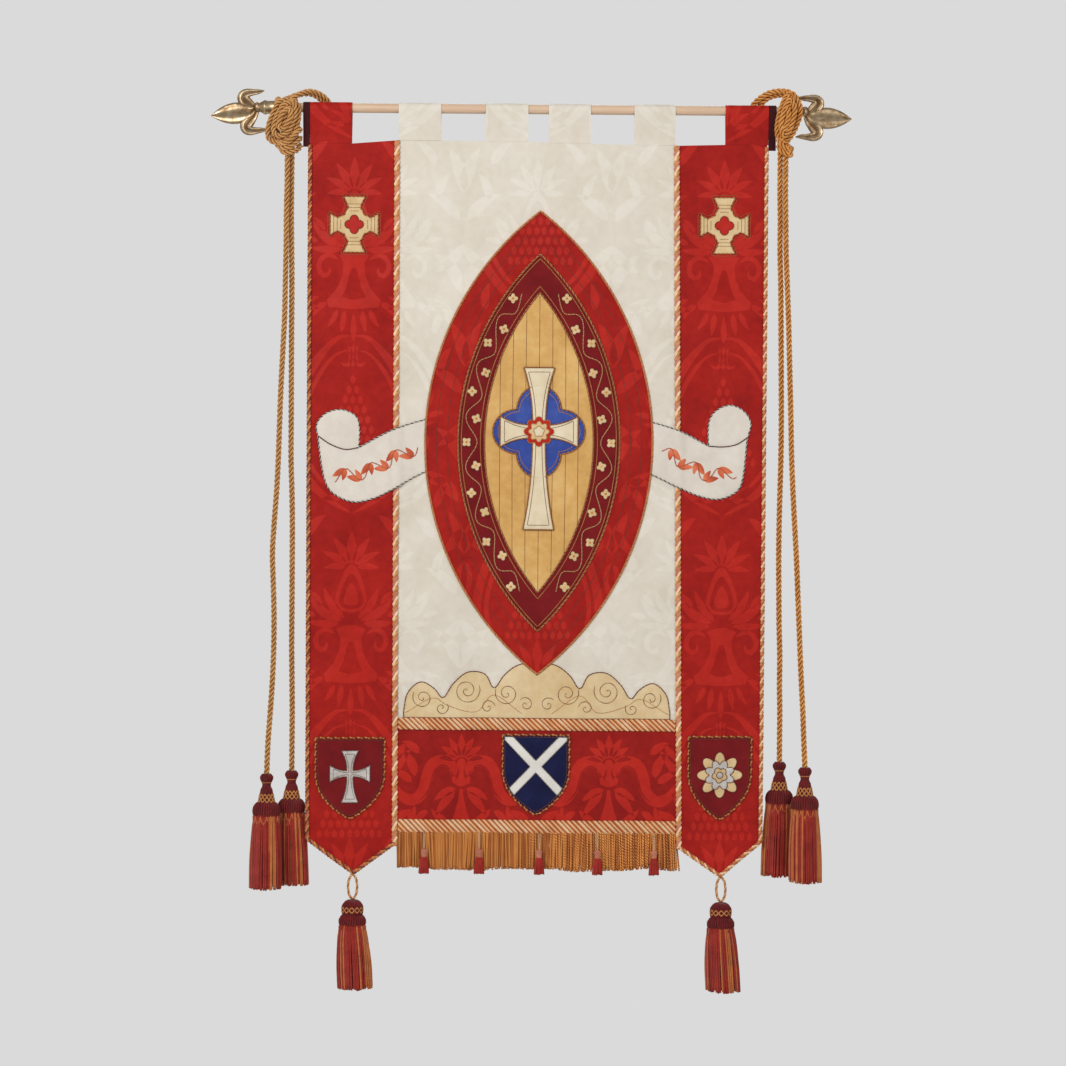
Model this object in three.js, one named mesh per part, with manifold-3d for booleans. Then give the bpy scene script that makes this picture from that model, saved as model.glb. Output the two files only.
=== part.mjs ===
// A church banner of red and ivory damask, hung by tabs from a wooden pole with brass finials.
// Millimetres. X runs along the pole, the front faces -Y, +Z is up, and the origin is on the pole's axis.
import * as THREE from 'three';
import { mergeVertices } from 'three/addons/utils/BufferGeometryUtils.js';
import Module from 'manifold-3d';

const wasm = await Module();
wasm.setup();

// Driving sizes
const gap = 0.3;
const clothThick = 2;
const skinThick = 1.2;
const braidThick = 3;
const cordThick = 4;
const poleRadius = 9.5;
const poleLeft = -556;
const poleRight = 523;
const ropeRadius = 6;
const sideHeight = { fringeTop: -1434, fringeRoot: -1447, fringeEnd: -1522 };
const panelBottom = -1230;
const bandBottom = -1434;
const seamBraidWidth = 12.5;
const edgeCordWidth = 10;
const wideBraid = { upperTop: -1218, upperBottom: -1241.5, lowerTop: -1421, lowerBottom: -1446.5 };
const prismDepth = 160;

// Upright lines of the cloth: x at the heading and at the foot
const footZ = -1475;
const headZ = -66;
const lines = {
  outerLeft: { top: -455, bottom: -450 },
  seamLeft: { top: -284, bottom: -278 },
  seamRight: { top: 275, bottom: 290 },
  outerRight: { top: 455, bottom: 450 },
};

// Top edge of the cloth, as it sags between the tabs
const headingPoints = [
  { x: -470, z: -70 },
  { x: -374, z: -71 },
  { x: -284, z: -64 },
  { x: -60, z: -64 },
  { x: 145, z: -69 },
  { x: 275, z: -70.5 },
  { x: 372, z: -68 },
  { x: 470, z: -68 },
];

// Soft folds of the hanging cloth: drift is sideways travel per mm of drop, depth is towards the front
const folds = [
  { x: -415, drift: 0.01, top: -150, half: 72, depth: 5.5 },
  { x: -335, drift: -0.015, top: -420, half: 66, depth: -4.5 },
  { x: -215, drift: 0.03, top: -90, half: 84, depth: 4.5 },
  { x: -95, drift: -0.02, top: -260, half: 90, depth: -5 },
  { x: 60, drift: 0.03, top: -120, half: 95, depth: 5.5 },
  { x: 190, drift: -0.01, top: -330, half: 82, depth: -4.5 },
  { x: 325, drift: 0.015, top: -200, half: 70, depth: 5 },
  { x: 412, drift: -0.012, top: -520, half: 66, depth: -5.5 },
];
const foldGrowth = 900;
const bellyDepth = 4;

// Lines of the mesh that every layer of cloth shares
const gridStep = { x: 62.5, z: 125 };
const gridStart = { x: -500, z: -40 };
const gridCount = { x: 16, z: 12 };

// Colours of the photograph's materials
const finishes = {
  red: { color: 0xa52a24, roughness: 0.62, metalness: 0 },
  ivory: { color: 0xd9cfbf, roughness: 0.55, metalness: 0 },
  velvet: { color: 0x761b1d, roughness: 0.9, metalness: 0 },
  lining: { color: 0x46181a, roughness: 0.85, metalness: 0 },
  navy: { color: 0x1d1e44, roughness: 0.85, metalness: 0 },
  blue: { color: 0x3a4e96, roughness: 0.6, metalness: 0 },
  ochre: { color: 0xd0a25f, roughness: 0.55, metalness: 0 },
  gold: { color: 0xc79a5b, roughness: 0.5, metalness: 0.1 },
  braid: { color: 0xc98f61, roughness: 0.55, metalness: 0.1 },
  rope: { color: 0xb98442, roughness: 0.65, metalness: 0 },
  fringe: { color: 0xad6a34, roughness: 0.7, metalness: 0 },
  tassel: { color: 0x8a332b, roughness: 0.7, metalness: 0 },
  wood: { color: 0xd5b08f, roughness: 0.55, metalness: 0 },
  brass: { color: 0xb09a70, roughness: 0.3, metalness: 0.9 },
  white: { color: 0xdcd9d3, roughness: 0.55, metalness: 0 },
};
const materials = {};
for (const [name, finish] of Object.entries(finishes)) {
  materials[name] = new THREE.MeshStandardMaterial(finish);
}

const banner = new THREE.Group();
banner.name = 'church_banner';

// Volume inside a triangle mesh, negative when it is inside out
function signedVolume(geometry) {
  const place = geometry.attributes.position;
  const index = geometry.index.array;
  const a = new THREE.Vector3();
  const b = new THREE.Vector3();
  const c = new THREE.Vector3();
  let volume = 0;
  for (let i = 0; i < index.length; i += 3) {
    a.fromBufferAttribute(place, index[i]);
    b.fromBufferAttribute(place, index[i + 1]);
    c.fromBufferAttribute(place, index[i + 2]);
    volume += a.dot(b.cross(c)) / 6;
  }
  return volume;
}

// A closed geometry as a solid that can be cut and joined
function solid(geometry) {
  const bare = geometry.clone();
  bare.deleteAttribute('normal');
  bare.deleteAttribute('uv');
  const merged = mergeVertices(bare, 1e-4);
  const triangles = Uint32Array.from(merged.index.array);
  if (signedVolume(merged) < 0) {
    for (let i = 0; i < triangles.length; i += 3) {
      [triangles[i + 1], triangles[i + 2]] = [triangles[i + 2], triangles[i + 1]];
    }
  }
  const vertices = Float32Array.from(merged.attributes.position.array);
  return new wasm.Manifold(new wasm.Mesh({ numProp: 3, vertProperties: vertices, triVerts: triangles }));
}

function join(parts) {
  return wasm.Manifold.union(parts);
}

// A solid back as a geometry
function geometryOf(body) {
  const mesh = body.getMesh();
  const geometry = new THREE.BufferGeometry();
  geometry.setAttribute('position', new THREE.BufferAttribute(mesh.vertProperties, 3));
  geometry.setIndex(Array.from(mesh.triVerts));
  geometry.computeVertexNormals();
  return geometry;
}

function addPiece(name, body, finish) {
  const mesh = new THREE.Mesh(geometryOf(body), materials[finish]);
  mesh.name = name;
  banner.add(mesh);
}

// Numbers between 0 and 1 that look uneven and are the same each time
function uneven(k) {
  const value = Math.sin(k * 12.9898 + 4.1) * 43758.5453;
  return value - Math.floor(value);
}

function lineAt(line, z) {
  const share = (z - headZ) / (footZ - headZ);
  return line.top + (line.bottom - line.top) * share;
}

function headingAt(x) {
  let k = 1;
  while (k < headingPoints.length - 1 && headingPoints[k].x < x) {
    k += 1;
  }
  const from = headingPoints[k - 1];
  const to = headingPoints[k];
  return from.z + ((to.z - from.z) * (x - from.x)) / (to.x - from.x);
}

// Heading edge between two x values, left to right
function headingRun(x0, x1) {
  const inside = headingPoints.filter((point) => point.x > x0 + 1 && point.x < x1 - 1);
  return [[x0, headingAt(x0)], ...inside.map((point) => [point.x, point.z]), [x1, headingAt(x1)]];
}

// How far the cloth's middle stands back from the pole's plane
function foldAt(x, z) {
  const drop = headZ - z;
  let y = -bellyDepth * Math.sin(Math.PI * Math.min(1, Math.max(0, drop / 1500)));
  for (const fold of folds) {
    const across = (x - fold.x - fold.drift * (fold.top - z)) / fold.half;
    const grown = Math.min(1, Math.max(0, (fold.top - z) / foldGrowth));
    if (Math.abs(across) < 1) {
      y -= fold.depth * grown * (0.5 + 0.5 * Math.cos(Math.PI * across));
    }
  }
  return y;
}

// The same on the flat triangles between the mesh lines, where the solids really lie
function clothAt(x, z) {
  const i = Math.floor((x - gridStart.x) / gridStep.x);
  const j = Math.floor((gridStart.z - z) / gridStep.z);
  const corner = (di, dj) => foldAt(gridStart.x + (i + di) * gridStep.x, gridStart.z - (j + dj) * gridStep.z);
  const across = (x - gridStart.x) / gridStep.x - i;
  const down = (gridStart.z - z) / gridStep.z - j;
  const side = down > across ? corner(0, 1) : corner(1, 0);
  const low = Math.min(across, down);
  const high = Math.max(across, down);
  return corner(0, 0) * (1 - high) + side * (high - low) + corner(1, 1) * low;
}

// A closed skin through rings of points, with a fan on each end
function loft(rings) {
  const sides = rings[0].length;
  const vertices = rings.flat(2);
  const index = [];
  for (let r = 0; r < rings.length - 1; r += 1) {
    for (let s = 0; s < sides; s += 1) {
      const a = r * sides + s;
      const b = r * sides + ((s + 1) % sides);
      index.push(a, b, a + sides, b, b + sides, a + sides);
    }
  }
  const last = (rings.length - 1) * sides;
  for (let s = 1; s < sides - 1; s += 1) {
    index.push(0, s + 1, s);
    index.push(last, last + s, last + s + 1);
  }
  const geometry = new THREE.BufferGeometry();
  geometry.setAttribute('position', new THREE.Float32BufferAttribute(vertices, 3));
  geometry.setIndex(index);
  return geometry;
}

// One layer of the hanging cloth over a box of x and z: near is the space between it and the cloth's front
function layer(box, near, thick) {
  const first = Math.max(0, Math.floor((box.x0 - gridStart.x) / gridStep.x));
  const last = Math.min(gridCount.x, Math.ceil((box.x1 - gridStart.x) / gridStep.x));
  const high = Math.max(0, Math.floor((gridStart.z - box.z1) / gridStep.z));
  const low = Math.min(gridCount.z, Math.ceil((gridStart.z - box.z0) / gridStep.z));
  const columns = last - first + 1;
  const rows = low - high + 1;
  const vertices = [];
  for (const side of [0, 1]) {
    for (let j = high; j <= low; j += 1) {
      for (let i = first; i <= last; i += 1) {
        const x = gridStart.x + i * gridStep.x;
        const z = gridStart.z - j * gridStep.z;
        vertices.push(x, foldAt(x, z) - clothThick / 2 - near - thick * side, z);
      }
    }
  }
  const at = (side, j, i) => side * columns * rows + j * columns + i;
  const index = [];
  const quad = (a, b, c, d) => index.push(a, b, c, a, c, d);
  for (let j = 0; j < rows - 1; j += 1) {
    for (let i = 0; i < columns - 1; i += 1) {
      quad(at(0, j, i), at(0, j, i + 1), at(0, j + 1, i + 1), at(0, j + 1, i));
      quad(at(1, j, i), at(1, j + 1, i), at(1, j + 1, i + 1), at(1, j, i + 1));
    }
  }
  for (let i = 0; i < columns - 1; i += 1) {
    quad(at(0, 0, i), at(1, 0, i), at(1, 0, i + 1), at(0, 0, i + 1));
    quad(at(0, rows - 1, i), at(0, rows - 1, i + 1), at(1, rows - 1, i + 1), at(1, rows - 1, i));
  }
  for (let j = 0; j < rows - 1; j += 1) {
    quad(at(0, j, 0), at(0, j + 1, 0), at(1, j + 1, 0), at(1, j, 0));
    quad(at(0, j, columns - 1), at(1, j, columns - 1), at(1, j + 1, columns - 1), at(0, j + 1, columns - 1));
  }
  const geometry = new THREE.BufferGeometry();
  geometry.setAttribute('position', new THREE.Float32BufferAttribute(vertices, 3));
  geometry.setIndex(index);
  return solid(geometry);
}

// An outline of x and z, pushed through the cloth from front to back
function prism(points) {
  const shape = new THREE.Shape(points.map(([x, z]) => new THREE.Vector2(x, z)));
  const geometry = new THREE.ExtrudeGeometry(shape, { depth: prismDepth, bevelEnabled: false });
  geometry.rotateX(Math.PI / 2);
  geometry.translate(0, prismDepth / 2, 0);
  return solid(geometry);
}

// The piece of a layer inside an outline
function cutFrom(outline, near, thick) {
  const box = outline.boundingBox();
  const span = { x0: box.min[0], x1: box.max[0], z0: box.min[2], z1: box.max[2] };
  return layer(span, near, thick).intersect(outline);
}

// Outline of a strip along an open line, with mitred corners
function strip(route, width) {
  const left = [];
  const right = [];
  route.forEach(([x, z], k) => {
    const before = route[Math.max(0, k - 1)];
    const after = route[Math.min(route.length - 1, k + 1)];
    const into = new THREE.Vector2(x - before[0], z - before[1]).normalize();
    const out = new THREE.Vector2(after[0] - x, after[1] - z).normalize();
    const way = into.clone().add(out).normalize();
    const steady = k === 0 ? out : into;
    const reach = width / 2 / Math.max(0.5, way.dot(steady));
    left.push([x - way.y * reach, z + way.x * reach]);
    right.unshift([x + way.y * reach, z - way.x * reach]);
  });
  return [...left, ...right];
}

function circle(x, z, radius, count) {
  const points = [];
  for (let k = 0; k < count; k += 1) {
    const turn = (2 * Math.PI * k) / count;
    points.push([x + radius * Math.cos(turn), z + radius * Math.sin(turn)]);
  }
  return points;
}

// A tube along a route, as an extruded round section
function tube(route, radius, sides, steps) {
  const curve = new THREE.CatmullRomCurve3(route.map(([x, y, z]) => new THREE.Vector3(x, y, z)));
  const section = new THREE.Shape(circle(0, 0, radius, sides).map(([x, y]) => new THREE.Vector2(x, y)));
  return solid(new THREE.ExtrudeGeometry(section, { steps, extrudePath: curve, bevelEnabled: false }));
}

// A solid turned about an upright line, from a profile of radius and height
function turned(profile, segments) {
  const points = profile.map(([radius, height]) => new THREE.Vector2(radius, height));
  const geometry = new THREE.LatheGeometry(points, segments);
  geometry.rotateX(Math.PI / 2);
  return geometry;
}

// Pole and its finials
const pole = new THREE.CylinderGeometry(poleRadius, poleRadius, poleRight - poleLeft, 20);
pole.rotateZ(Math.PI / 2);
pole.translate((poleRight + poleLeft) / 2, 0, 0);
const poleSolid = solid(pole);
addPiece('pole', poleSolid, 'wood');

const socket = { mouth: -42, floor: -10, bore: poleRadius + 0.7, radius: 14 };
const leaf = [
  { u: 0, half: 6, ridge: 6 },
  { u: 12, half: 12, ridge: 7.5 },
  { u: 28, half: 20, ridge: 8 },
  { u: 42, half: 22, ridge: 7 },
  { u: 58, half: 18, ridge: 5.5 },
  { u: 76, half: 9, ridge: 3.5 },
  { u: 91, half: 1, ridge: 1 },
];
const curl = [
  { u: -2, v: 3, half: 4, ridge: 5 },
  { u: 12, v: 11, half: 6, ridge: 5 },
  { u: 25, v: 18, half: 8, ridge: 5 },
  { u: 32, v: 27, half: 8, ridge: 5 },
  { u: 27, v: 36, half: 7, ridge: 4.5 },
  { u: 12, v: 40, half: 6, ridge: 4 },
  { u: -3, v: 40, half: 4, ridge: 3 },
  { u: -16, v: 41, half: 1.2, ridge: 1.2 },
];

// One recurved petal: sections stand across the line of the petal
function petal(side) {
  const rings = curl.map((row, k) => {
    const before = curl[Math.max(0, k - 1)];
    const after = curl[Math.min(curl.length - 1, k + 1)];
    const way = new THREE.Vector2(after.u - before.u, after.v - before.v).normalize();
    const edge = [-way.y * row.half, way.x * row.half];
    return [
      [row.u + edge[0], 0, side * (row.v + edge[1])],
      [row.u, -row.ridge, side * row.v],
      [row.u - edge[0], 0, side * (row.v - edge[1])],
      [row.u, row.ridge, side * row.v],
    ];
  });
  return solid(loft(rings));
}

// A finial that points along +X from its neck at the origin
function finial(droop, sink) {
  const centre = loft(leaf.map((row) => [
    [row.u, 0, row.half],
    [row.u, -row.ridge, 0],
    [row.u, 0, -row.half],
    [row.u, row.ridge, 0],
  ]));
  const flower = join([solid(centre), petal(1), petal(-1)]);
  const cup = new THREE.LatheGeometry(
    [
      [0, socket.floor],
      [socket.bore, socket.floor],
      [socket.bore, socket.mouth],
      [socket.radius, socket.mouth],
      [socket.radius, socket.floor - 3],
      [9, socket.floor + 4],
      [0, 6],
    ].map(([radius, along]) => new THREE.Vector2(radius, along)),
    12,
  );
  cup.rotateZ(-Math.PI / 2);
  const lowered = flower.rotate([0, droop, 0]).translate([0, 0, -sink]);
  return join([solid(cup), lowered]);
}

const finialRight = finial(5, 6).translate([poleRight + gap - socket.floor, 0, 0]);
const finialLeft = finial(6, 4).rotate([0, 0, 180]).translate([poleLeft - gap + socket.floor, 0, 0]);

// Tabs: a loop of cloth over the pole whose two legs meet at the heading
const tabLeg = 1.5;
const tabInner = poleRadius + 0.6;
const tabMeet = -56;
const tabs = [
  { name: 'tab_red_left', x0: -458, x1: -374, bottom: -90, finish: 'red' },
  { name: 'tab_white_1', x0: -281, x1: -196, bottom: -90, finish: 'ivory' },
  { name: 'tab_white_2', x0: -107, x1: -22, bottom: -90, finish: 'ivory' },
  { name: 'tab_white_3', x0: 19, x1: 103, bottom: -90, finish: 'ivory' },
  { name: 'tab_white_4', x0: 190, x1: 272, bottom: -90, finish: 'ivory' },
  { name: 'tab_red_right', x0: 372, x1: 458, bottom: -90, finish: 'red' },
  { name: 'tab_lining_left', x0: -472, x1: -458 - gap, bottom: -78, finish: 'lining' },
  { name: 'tab_lining_right', x0: 458 + gap, x1: 473, bottom: -79, finish: 'lining' },
];

// Half of the loop's section, from the foot to the top: the leg, then round the pole
function tabHalf(radius, foot, halfFoot) {
  const lean = Math.acos(tabInner / -tabMeet);
  const apex = radius / Math.cos(lean);
  const touch = [radius * Math.sin(lean), -radius * Math.cos(lean)];
  const points = [];
  if (halfFoot > 0) {
    const joinZ = -(apex - (halfFoot * (apex + touch[1])) / touch[0]);
    points.push([halfFoot, foot], [halfFoot, joinZ]);
  } else {
    points.push([0, tabMeet]);
  }
  const start = lean - Math.PI / 2;
  const steps = 5;
  for (let k = 0; k <= steps; k += 1) {
    const turn = start + ((Math.PI / 2 - start) * k) / steps;
    points.push([radius * Math.cos(turn), radius * Math.sin(turn)]);
  }
  return points;
}

function loopSection(radius, foot, halfFoot) {
  const half = tabHalf(radius, foot, halfFoot);
  const mirrored = half.slice(halfFoot > 0 ? 0 : 1, -1).reverse().map(([y, z]) => [-y, z]);
  return [...half, ...mirrored].map(([y, z]) => new THREE.Vector2(y, z));
}

// From a section drawn in y and z to a solid along x
const alongX = new THREE.Matrix4().set(0, 0, 1, 0, 1, 0, 0, 0, 0, 1, 0, 0, 0, 0, 0, 1);
for (const tab of tabs) {
  const section = new THREE.Shape(loopSection(tabInner + tabLeg, tab.bottom, tabLeg));
  section.holes.push(new THREE.Path(loopSection(tabInner, tab.bottom, 0)));
  const body = new THREE.ExtrudeGeometry(section, { depth: tab.x1 - tab.x0, bevelEnabled: false });
  body.applyMatrix4(alongX);
  body.translate(tab.x0, 0, 0);
  let cloth = solid(body);
  if (tab.finish !== 'lining') {
    const foot = headingRun(tab.x0 - 1, tab.x1 + 1).map(([x, z]) => [x, z + gap]);
    cloth = cloth.intersect(prism([...foot, [tab.x1 + 1, 40], [tab.x0 - 1, 40]]));
  }
  addPiece(tab.name, cloth, tab.finish);
}

// Lappets: long side pieces with a pointed foot
const lappets = [
  {
    name: 'left', side: -1, tipX: -360, outer: lines.outerLeft, inner: lines.seamLeft,
    shoulderZ: -1460, innerZ: -1470,
  },
  {
    name: 'right', side: 1, tipX: 373, outer: lines.outerRight, inner: lines.seamRight,
    shoulderZ: -1460, innerZ: -1474,
  },
];
const tipZ = -1529;
const edgeRoutes = {};
for (const lappet of lappets) {
  const seamTop = lappet.inner.top + (lappet.side * gap) / 2;
  const seamFoot = lineAt(lappet.inner, lappet.innerZ) + (lappet.side * gap) / 2;
  const outerFoot = lineAt(lappet.outer, lappet.shoulderZ);
  const top = headingRun(Math.min(lappet.outer.top, seamTop), Math.max(lappet.outer.top, seamTop));
  const foot = [[seamFoot, lappet.innerZ], [lappet.tipX, tipZ], [outerFoot, lappet.shoulderZ]];
  const outline = lappet.side < 0 ? [...top, ...foot] : [...top, ...foot.reverse()];
  addPiece(`lappet_${lappet.name}`, cutFrom(prism(outline), -clothThick, clothThick), 'red');
  const inset = -lappet.side * (edgeCordWidth / 2 - 2);
  edgeRoutes[lappet.name] = [
    [lappet.outer.top + inset, headingAt(lappet.outer.top) - 5],
    [outerFoot + inset, lappet.shoulderZ + 1.5],
    [lappet.tipX, tipZ + 3.5],
    [seamFoot, lappet.innerZ + 3.5],
  ];
  const cord = prism(strip(edgeRoutes[lappet.name], edgeCordWidth));
  addPiece(`edge_cord_${lappet.name}`, cutFrom(cord, gap, cordThick), 'braid');
}

// Centre panel and bottom band
const panelOutline = [
  ...headingRun(lines.seamLeft.top + gap / 2, lines.seamRight.top - gap / 2),
  [lineAt(lines.seamRight, panelBottom) - gap / 2, panelBottom],
  [lineAt(lines.seamLeft, panelBottom) + gap / 2, panelBottom],
];
addPiece('centre_panel', cutFrom(prism(panelOutline), -clothThick, clothThick), 'ivory');
const bandTop = panelBottom - gap;
const bandOutline = [
  [lineAt(lines.seamLeft, bandTop) + gap / 2, bandTop],
  [lineAt(lines.seamRight, bandTop) - gap / 2, bandTop],
  [lineAt(lines.seamRight, bandBottom) - gap / 2, bandBottom],
  [lineAt(lines.seamLeft, bandBottom) + gap / 2, bandBottom],
];
addPiece('bottom_band', cutFrom(prism(bandOutline), -clothThick, clothThick), 'red');

// Braids over the seams, stopped by the cord round the lappet's foot
for (const lappet of lappets) {
  const route = [
    [lappet.inner.top, headingAt(lappet.inner.top) - gap],
    [lineAt(lappet.inner, footZ), footZ],
  ];
  const edge = prism(strip(edgeRoutes[lappet.name], edgeCordWidth + 2 * gap));
  const braid = cutFrom(prism(strip(route, seamBraidWidth)), gap, braidThick).subtract(edge);
  addPiece(`seam_braid_${lappet.name}`, largest(braid), 'braid');
}

// The biggest of the bodies that a cut leaves
function largest(body) {
  const parts = body.decompose();
  return parts.reduce((best, part) => (part.volume() > best.volume() ? part : best));
}

function wideBraidPiece(name, top, bottom) {
  const clear = seamBraidWidth / 2 + gap;
  const outline = [
    [lineAt(lines.seamLeft, top) + clear, top],
    [lineAt(lines.seamRight, top) - clear, top],
    [lineAt(lines.seamRight, bottom) - clear, bottom],
    [lineAt(lines.seamLeft, bottom) + clear, bottom],
  ];
  addPiece(name, cutFrom(prism(outline), gap, braidThick), 'braid');
}
wideBraidPiece('wide_braid_upper', wideBraid.upperTop, wideBraid.upperBottom);
wideBraidPiece('wide_braid_lower', wideBraid.lowerTop, wideBraid.lowerBottom);

// Fringe: two rows of strands on a narrow strip
const fringe = { x0: -275, x1: 288, pairs: 44, width: 8.8, depth: 4, strip: 4.6 };
const fringeStrip = [
  [fringe.x0, sideHeight.fringeTop - gap],
  [fringe.x1, sideHeight.fringeTop - gap],
  [fringe.x1, sideHeight.fringeRoot - 3],
  [fringe.x0, sideHeight.fringeRoot - 3],
];
const fringeParts = [cutFrom(prism(fringeStrip), -fringe.strip, fringe.strip)];
for (let k = 0; k < 2 * fringe.pairs; k += 1) {
  const row = k % 2;
  const pitch = (fringe.x1 - fringe.x0 - fringe.width) / (2 * fringe.pairs - 1);
  const x = fringe.x0 + fringe.width / 2 + pitch * k;
  const end = sideHeight.fringeEnd + 5 * (uneven(k) - 0.5);
  const sway = 2.6 * (uneven(k + 300) - 0.5);
  const face = clothAt(x, sideHeight.fringeRoot) + fringe.strip / 2 - clothThick / 2 + (row ? 0.4 : -0.4);
  const depth = row ? fringe.depth : -fringe.depth;
  const rings = [
    { z: sideHeight.fringeRoot, shift: 0, share: 0.8, swell: 0.35 },
    { z: end, shift: sway, share: 1, swell: 1 },
  ].map((place) => [
    [x + place.shift - (fringe.width / 2) * place.share, face, place.z],
    [x + place.shift + (fringe.width / 2) * place.share, face, place.z],
    [x + place.shift, face + depth * place.swell, place.z],
  ]);
  fringeParts.push(solid(loft(rings)));
}
addPiece('fringe', join(fringeParts), 'fringe');

// A tassel: a turned head, and locks in two rings that hang apart from its collar
function tassel(form) {
  const head = turned(form.profile.map(([radius, drop]) => [radius, -drop]), form.segments);
  const parts = [solid(head)];
  const root = form.profile[form.profile.length - 1][1];
  for (const ring of form.rings) {
    for (let k = 0; k < ring.count; k += 1) {
      const turn = (2 * Math.PI * (k + ring.start)) / ring.count;
      const along = new THREE.Vector2(Math.cos(turn), Math.sin(turn));
      const end = form.length * (1 - 0.03 * uneven(k + ring.count * 7 + form.seed));
      const stations = [
        { drop: root - 2, radius: ring.top, width: ring.width * 0.86 },
        { drop: end, radius: ring.bottom, width: ring.width * 1.2 },
      ];
      parts.push(solid(loft(stations.map((station) => {
        const inner = station.radius - ring.depth / 2;
        const outer = station.radius + ring.depth / 2;
        const half = station.width / 2;
        const four = [[inner, -half], [outer, -half], [outer, half], [inner, half]];
        const three = [[inner, 0], [outer, -half], [outer, half]];
        return (ring.sides === 4 ? four : three).map(([out, aside]) => [
          along.x * out - along.y * aside,
          along.y * out + along.x * aside,
          -station.drop,
        ]);
      }))));
    }
  }
  return join(parts);
}

const sideTassel = {
  length: 231,
  segments: 10,
  profile: [
    [0, 0], [8, 1], [12.5, 8], [8, 17], [7.5, 26], [11, 31], [15.5, 58],
    [26, 65], [28, 77], [25.5, 86], [0, 86],
  ],
  rings: [
    { count: 14, sides: 4, start: 0, top: 20, bottom: 27.5, width: 8, depth: 5.6 },
    { count: 6, sides: 3, start: 0.5, top: 12, bottom: 14, width: 9, depth: 7.6 },
  ],
};
const lappetTassel = {
  length: 178,
  segments: 10,
  profile: [[0, 0], [12, 2], [20, 12], [20, 28], [27, 36], [27, 48], [25.5, 53], [0, 53]],
  rings: [
    { count: 14, sides: 4, start: 0, top: 20, bottom: 29.5, width: 8, depth: 5.6 },
    { count: 6, sides: 3, start: 0.5, top: 12, bottom: 14, width: 9, depth: 7.6 },
  ],
};

// Routes of the four hanging ropes, from the knot down to the tassel
const ropeStart = { left: -100, right: -118 };
const ropes = [
  {
    name: 'left_outer', tasselTop: -1331, seed: 3,
    route: [
      [-502, -17, -100.3], [-502, -17, -150], [-503, -17, -210], [-503, -17, -280], [-504, -17, -350],
      [-505, -18, -420], [-508, -19, -490], [-511, -20, -560], [-513, -21, -630], [-515, -22, -705],
      [-518, -22, -770], [-522, -23, -830], [-525, -23, -890], [-523, -23, -950], [-521, -23, -1012],
      [-521, -24, -1080], [-523, -24, -1142], [-527, -24, -1210], [-531, -24, -1270], [-533, -24, -1330.7],
    ],
  },
  {
    name: 'left_inner', tasselTop: -1328, seed: 11,
    route: [
      [-494, -5, -100.3], [-494, -5, -150], [-494, -5, -210], [-493, -5, -280], [-492, -4, -350],
      [-492, -3, -420], [-492, -1, -490], [-492, 2, -560], [-492, 6, -630], [-492, 10, -705],
      [-490, 13, -770], [-489, 16, -830], [-489, 19, -890], [-489, 21, -950], [-489, 22, -1012],
      [-489, 23, -1080], [-488, 24, -1142], [-487, 24, -1210], [-487, 24, -1270], [-487, 24, -1327.7],
    ],
  },
  {
    name: 'right_inner', tasselTop: -1303, seed: 17,
    route: [
      [482, -5, -118.3], [482, -5, -165], [483, -5, -220], [483, -5, -281], [485, -4, -350],
      [486, -3, -420], [487, -1, -485], [488, 2, -550], [489, 6, -620], [489, 10, -697],
      [488, 13, -760], [487, 16, -830], [487, 19, -895], [488, 21, -960], [489, 22, -1025],
      [491, 23, -1091], [491, 24, -1150], [492, 24, -1200], [492, 24, -1250], [492, 24, -1302.7],
    ],
  },
  {
    name: 'right_outer', tasselTop: -1310, seed: 29,
    route: [
      [492, -17, -118.3], [492, -17, -165], [493, -17, -220], [494, -17, -281], [497, -17, -350],
      [500, -18, -420], [502, -19, -485], [504, -20, -550], [506, -21, -620], [508, -22, -697],
      [511, -22, -760], [515, -23, -830], [519, -23, -895], [522, -23, -960], [525, -24, -1025],
      [528, -24, -1091], [531, -24, -1150], [534, -24, -1200], [536, -24, -1250], [539, -24, -1309.7],
    ],
  },
];
const ropeSides = 8;
const ropeSteps = 20;
for (const rope of ropes) {
  addPiece(`rope_${rope.name}`, tube(rope.route, ropeRadius, ropeSides, ropeSteps), 'rope');
  const foot = rope.route[rope.route.length - 1];
  const form = { ...sideTassel, seed: rope.seed };
  addPiece(`side_tassel_${rope.name}`, tassel(form).translate([foot[0], foot[1], rope.tasselTop]), 'tassel');
}

// Tassels on cord loops at the points of the lappets
const loopHalf = { x: 9.5, z: 24 };
const loopRadius = 3;
const cordOverhang = 2.9;
const loopSpots = [
  { name: 'left', x: -361.5, seed: 41 },
  { name: 'right', x: 375, seed: 47 },
];
for (const spot of loopSpots) {
  const y = clothAt(spot.x, tipZ);
  const top = tipZ - cordOverhang - gap;
  const middle = top - loopRadius - loopHalf.z;
  const halves = [0, 1].map((half) => {
    const points = [];
    for (let k = -0.5; k <= 6.5; k += 1) {
      const turn = (Math.PI * (k + 6 * half)) / 6;
      points.push([spot.x + loopHalf.x * Math.sin(turn), y, middle + loopHalf.z * Math.cos(turn)]);
    }
    return tube(points, loopRadius, 6, 6);
  });
  const loop = join(halves);
  const lift = top - loop.boundingBox().max[2];
  addPiece(`tassel_loop_${spot.name}`, loop.translate([0, 0, lift]), 'gold');
  const head = loop.boundingBox().min[2] + lift - gap;
  const form = { ...lappetTassel, seed: spot.seed };
  addPiece(`lappet_tassel_${spot.name}`, tassel(form).translate([spot.x, y, head]), 'tassel');
}

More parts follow.
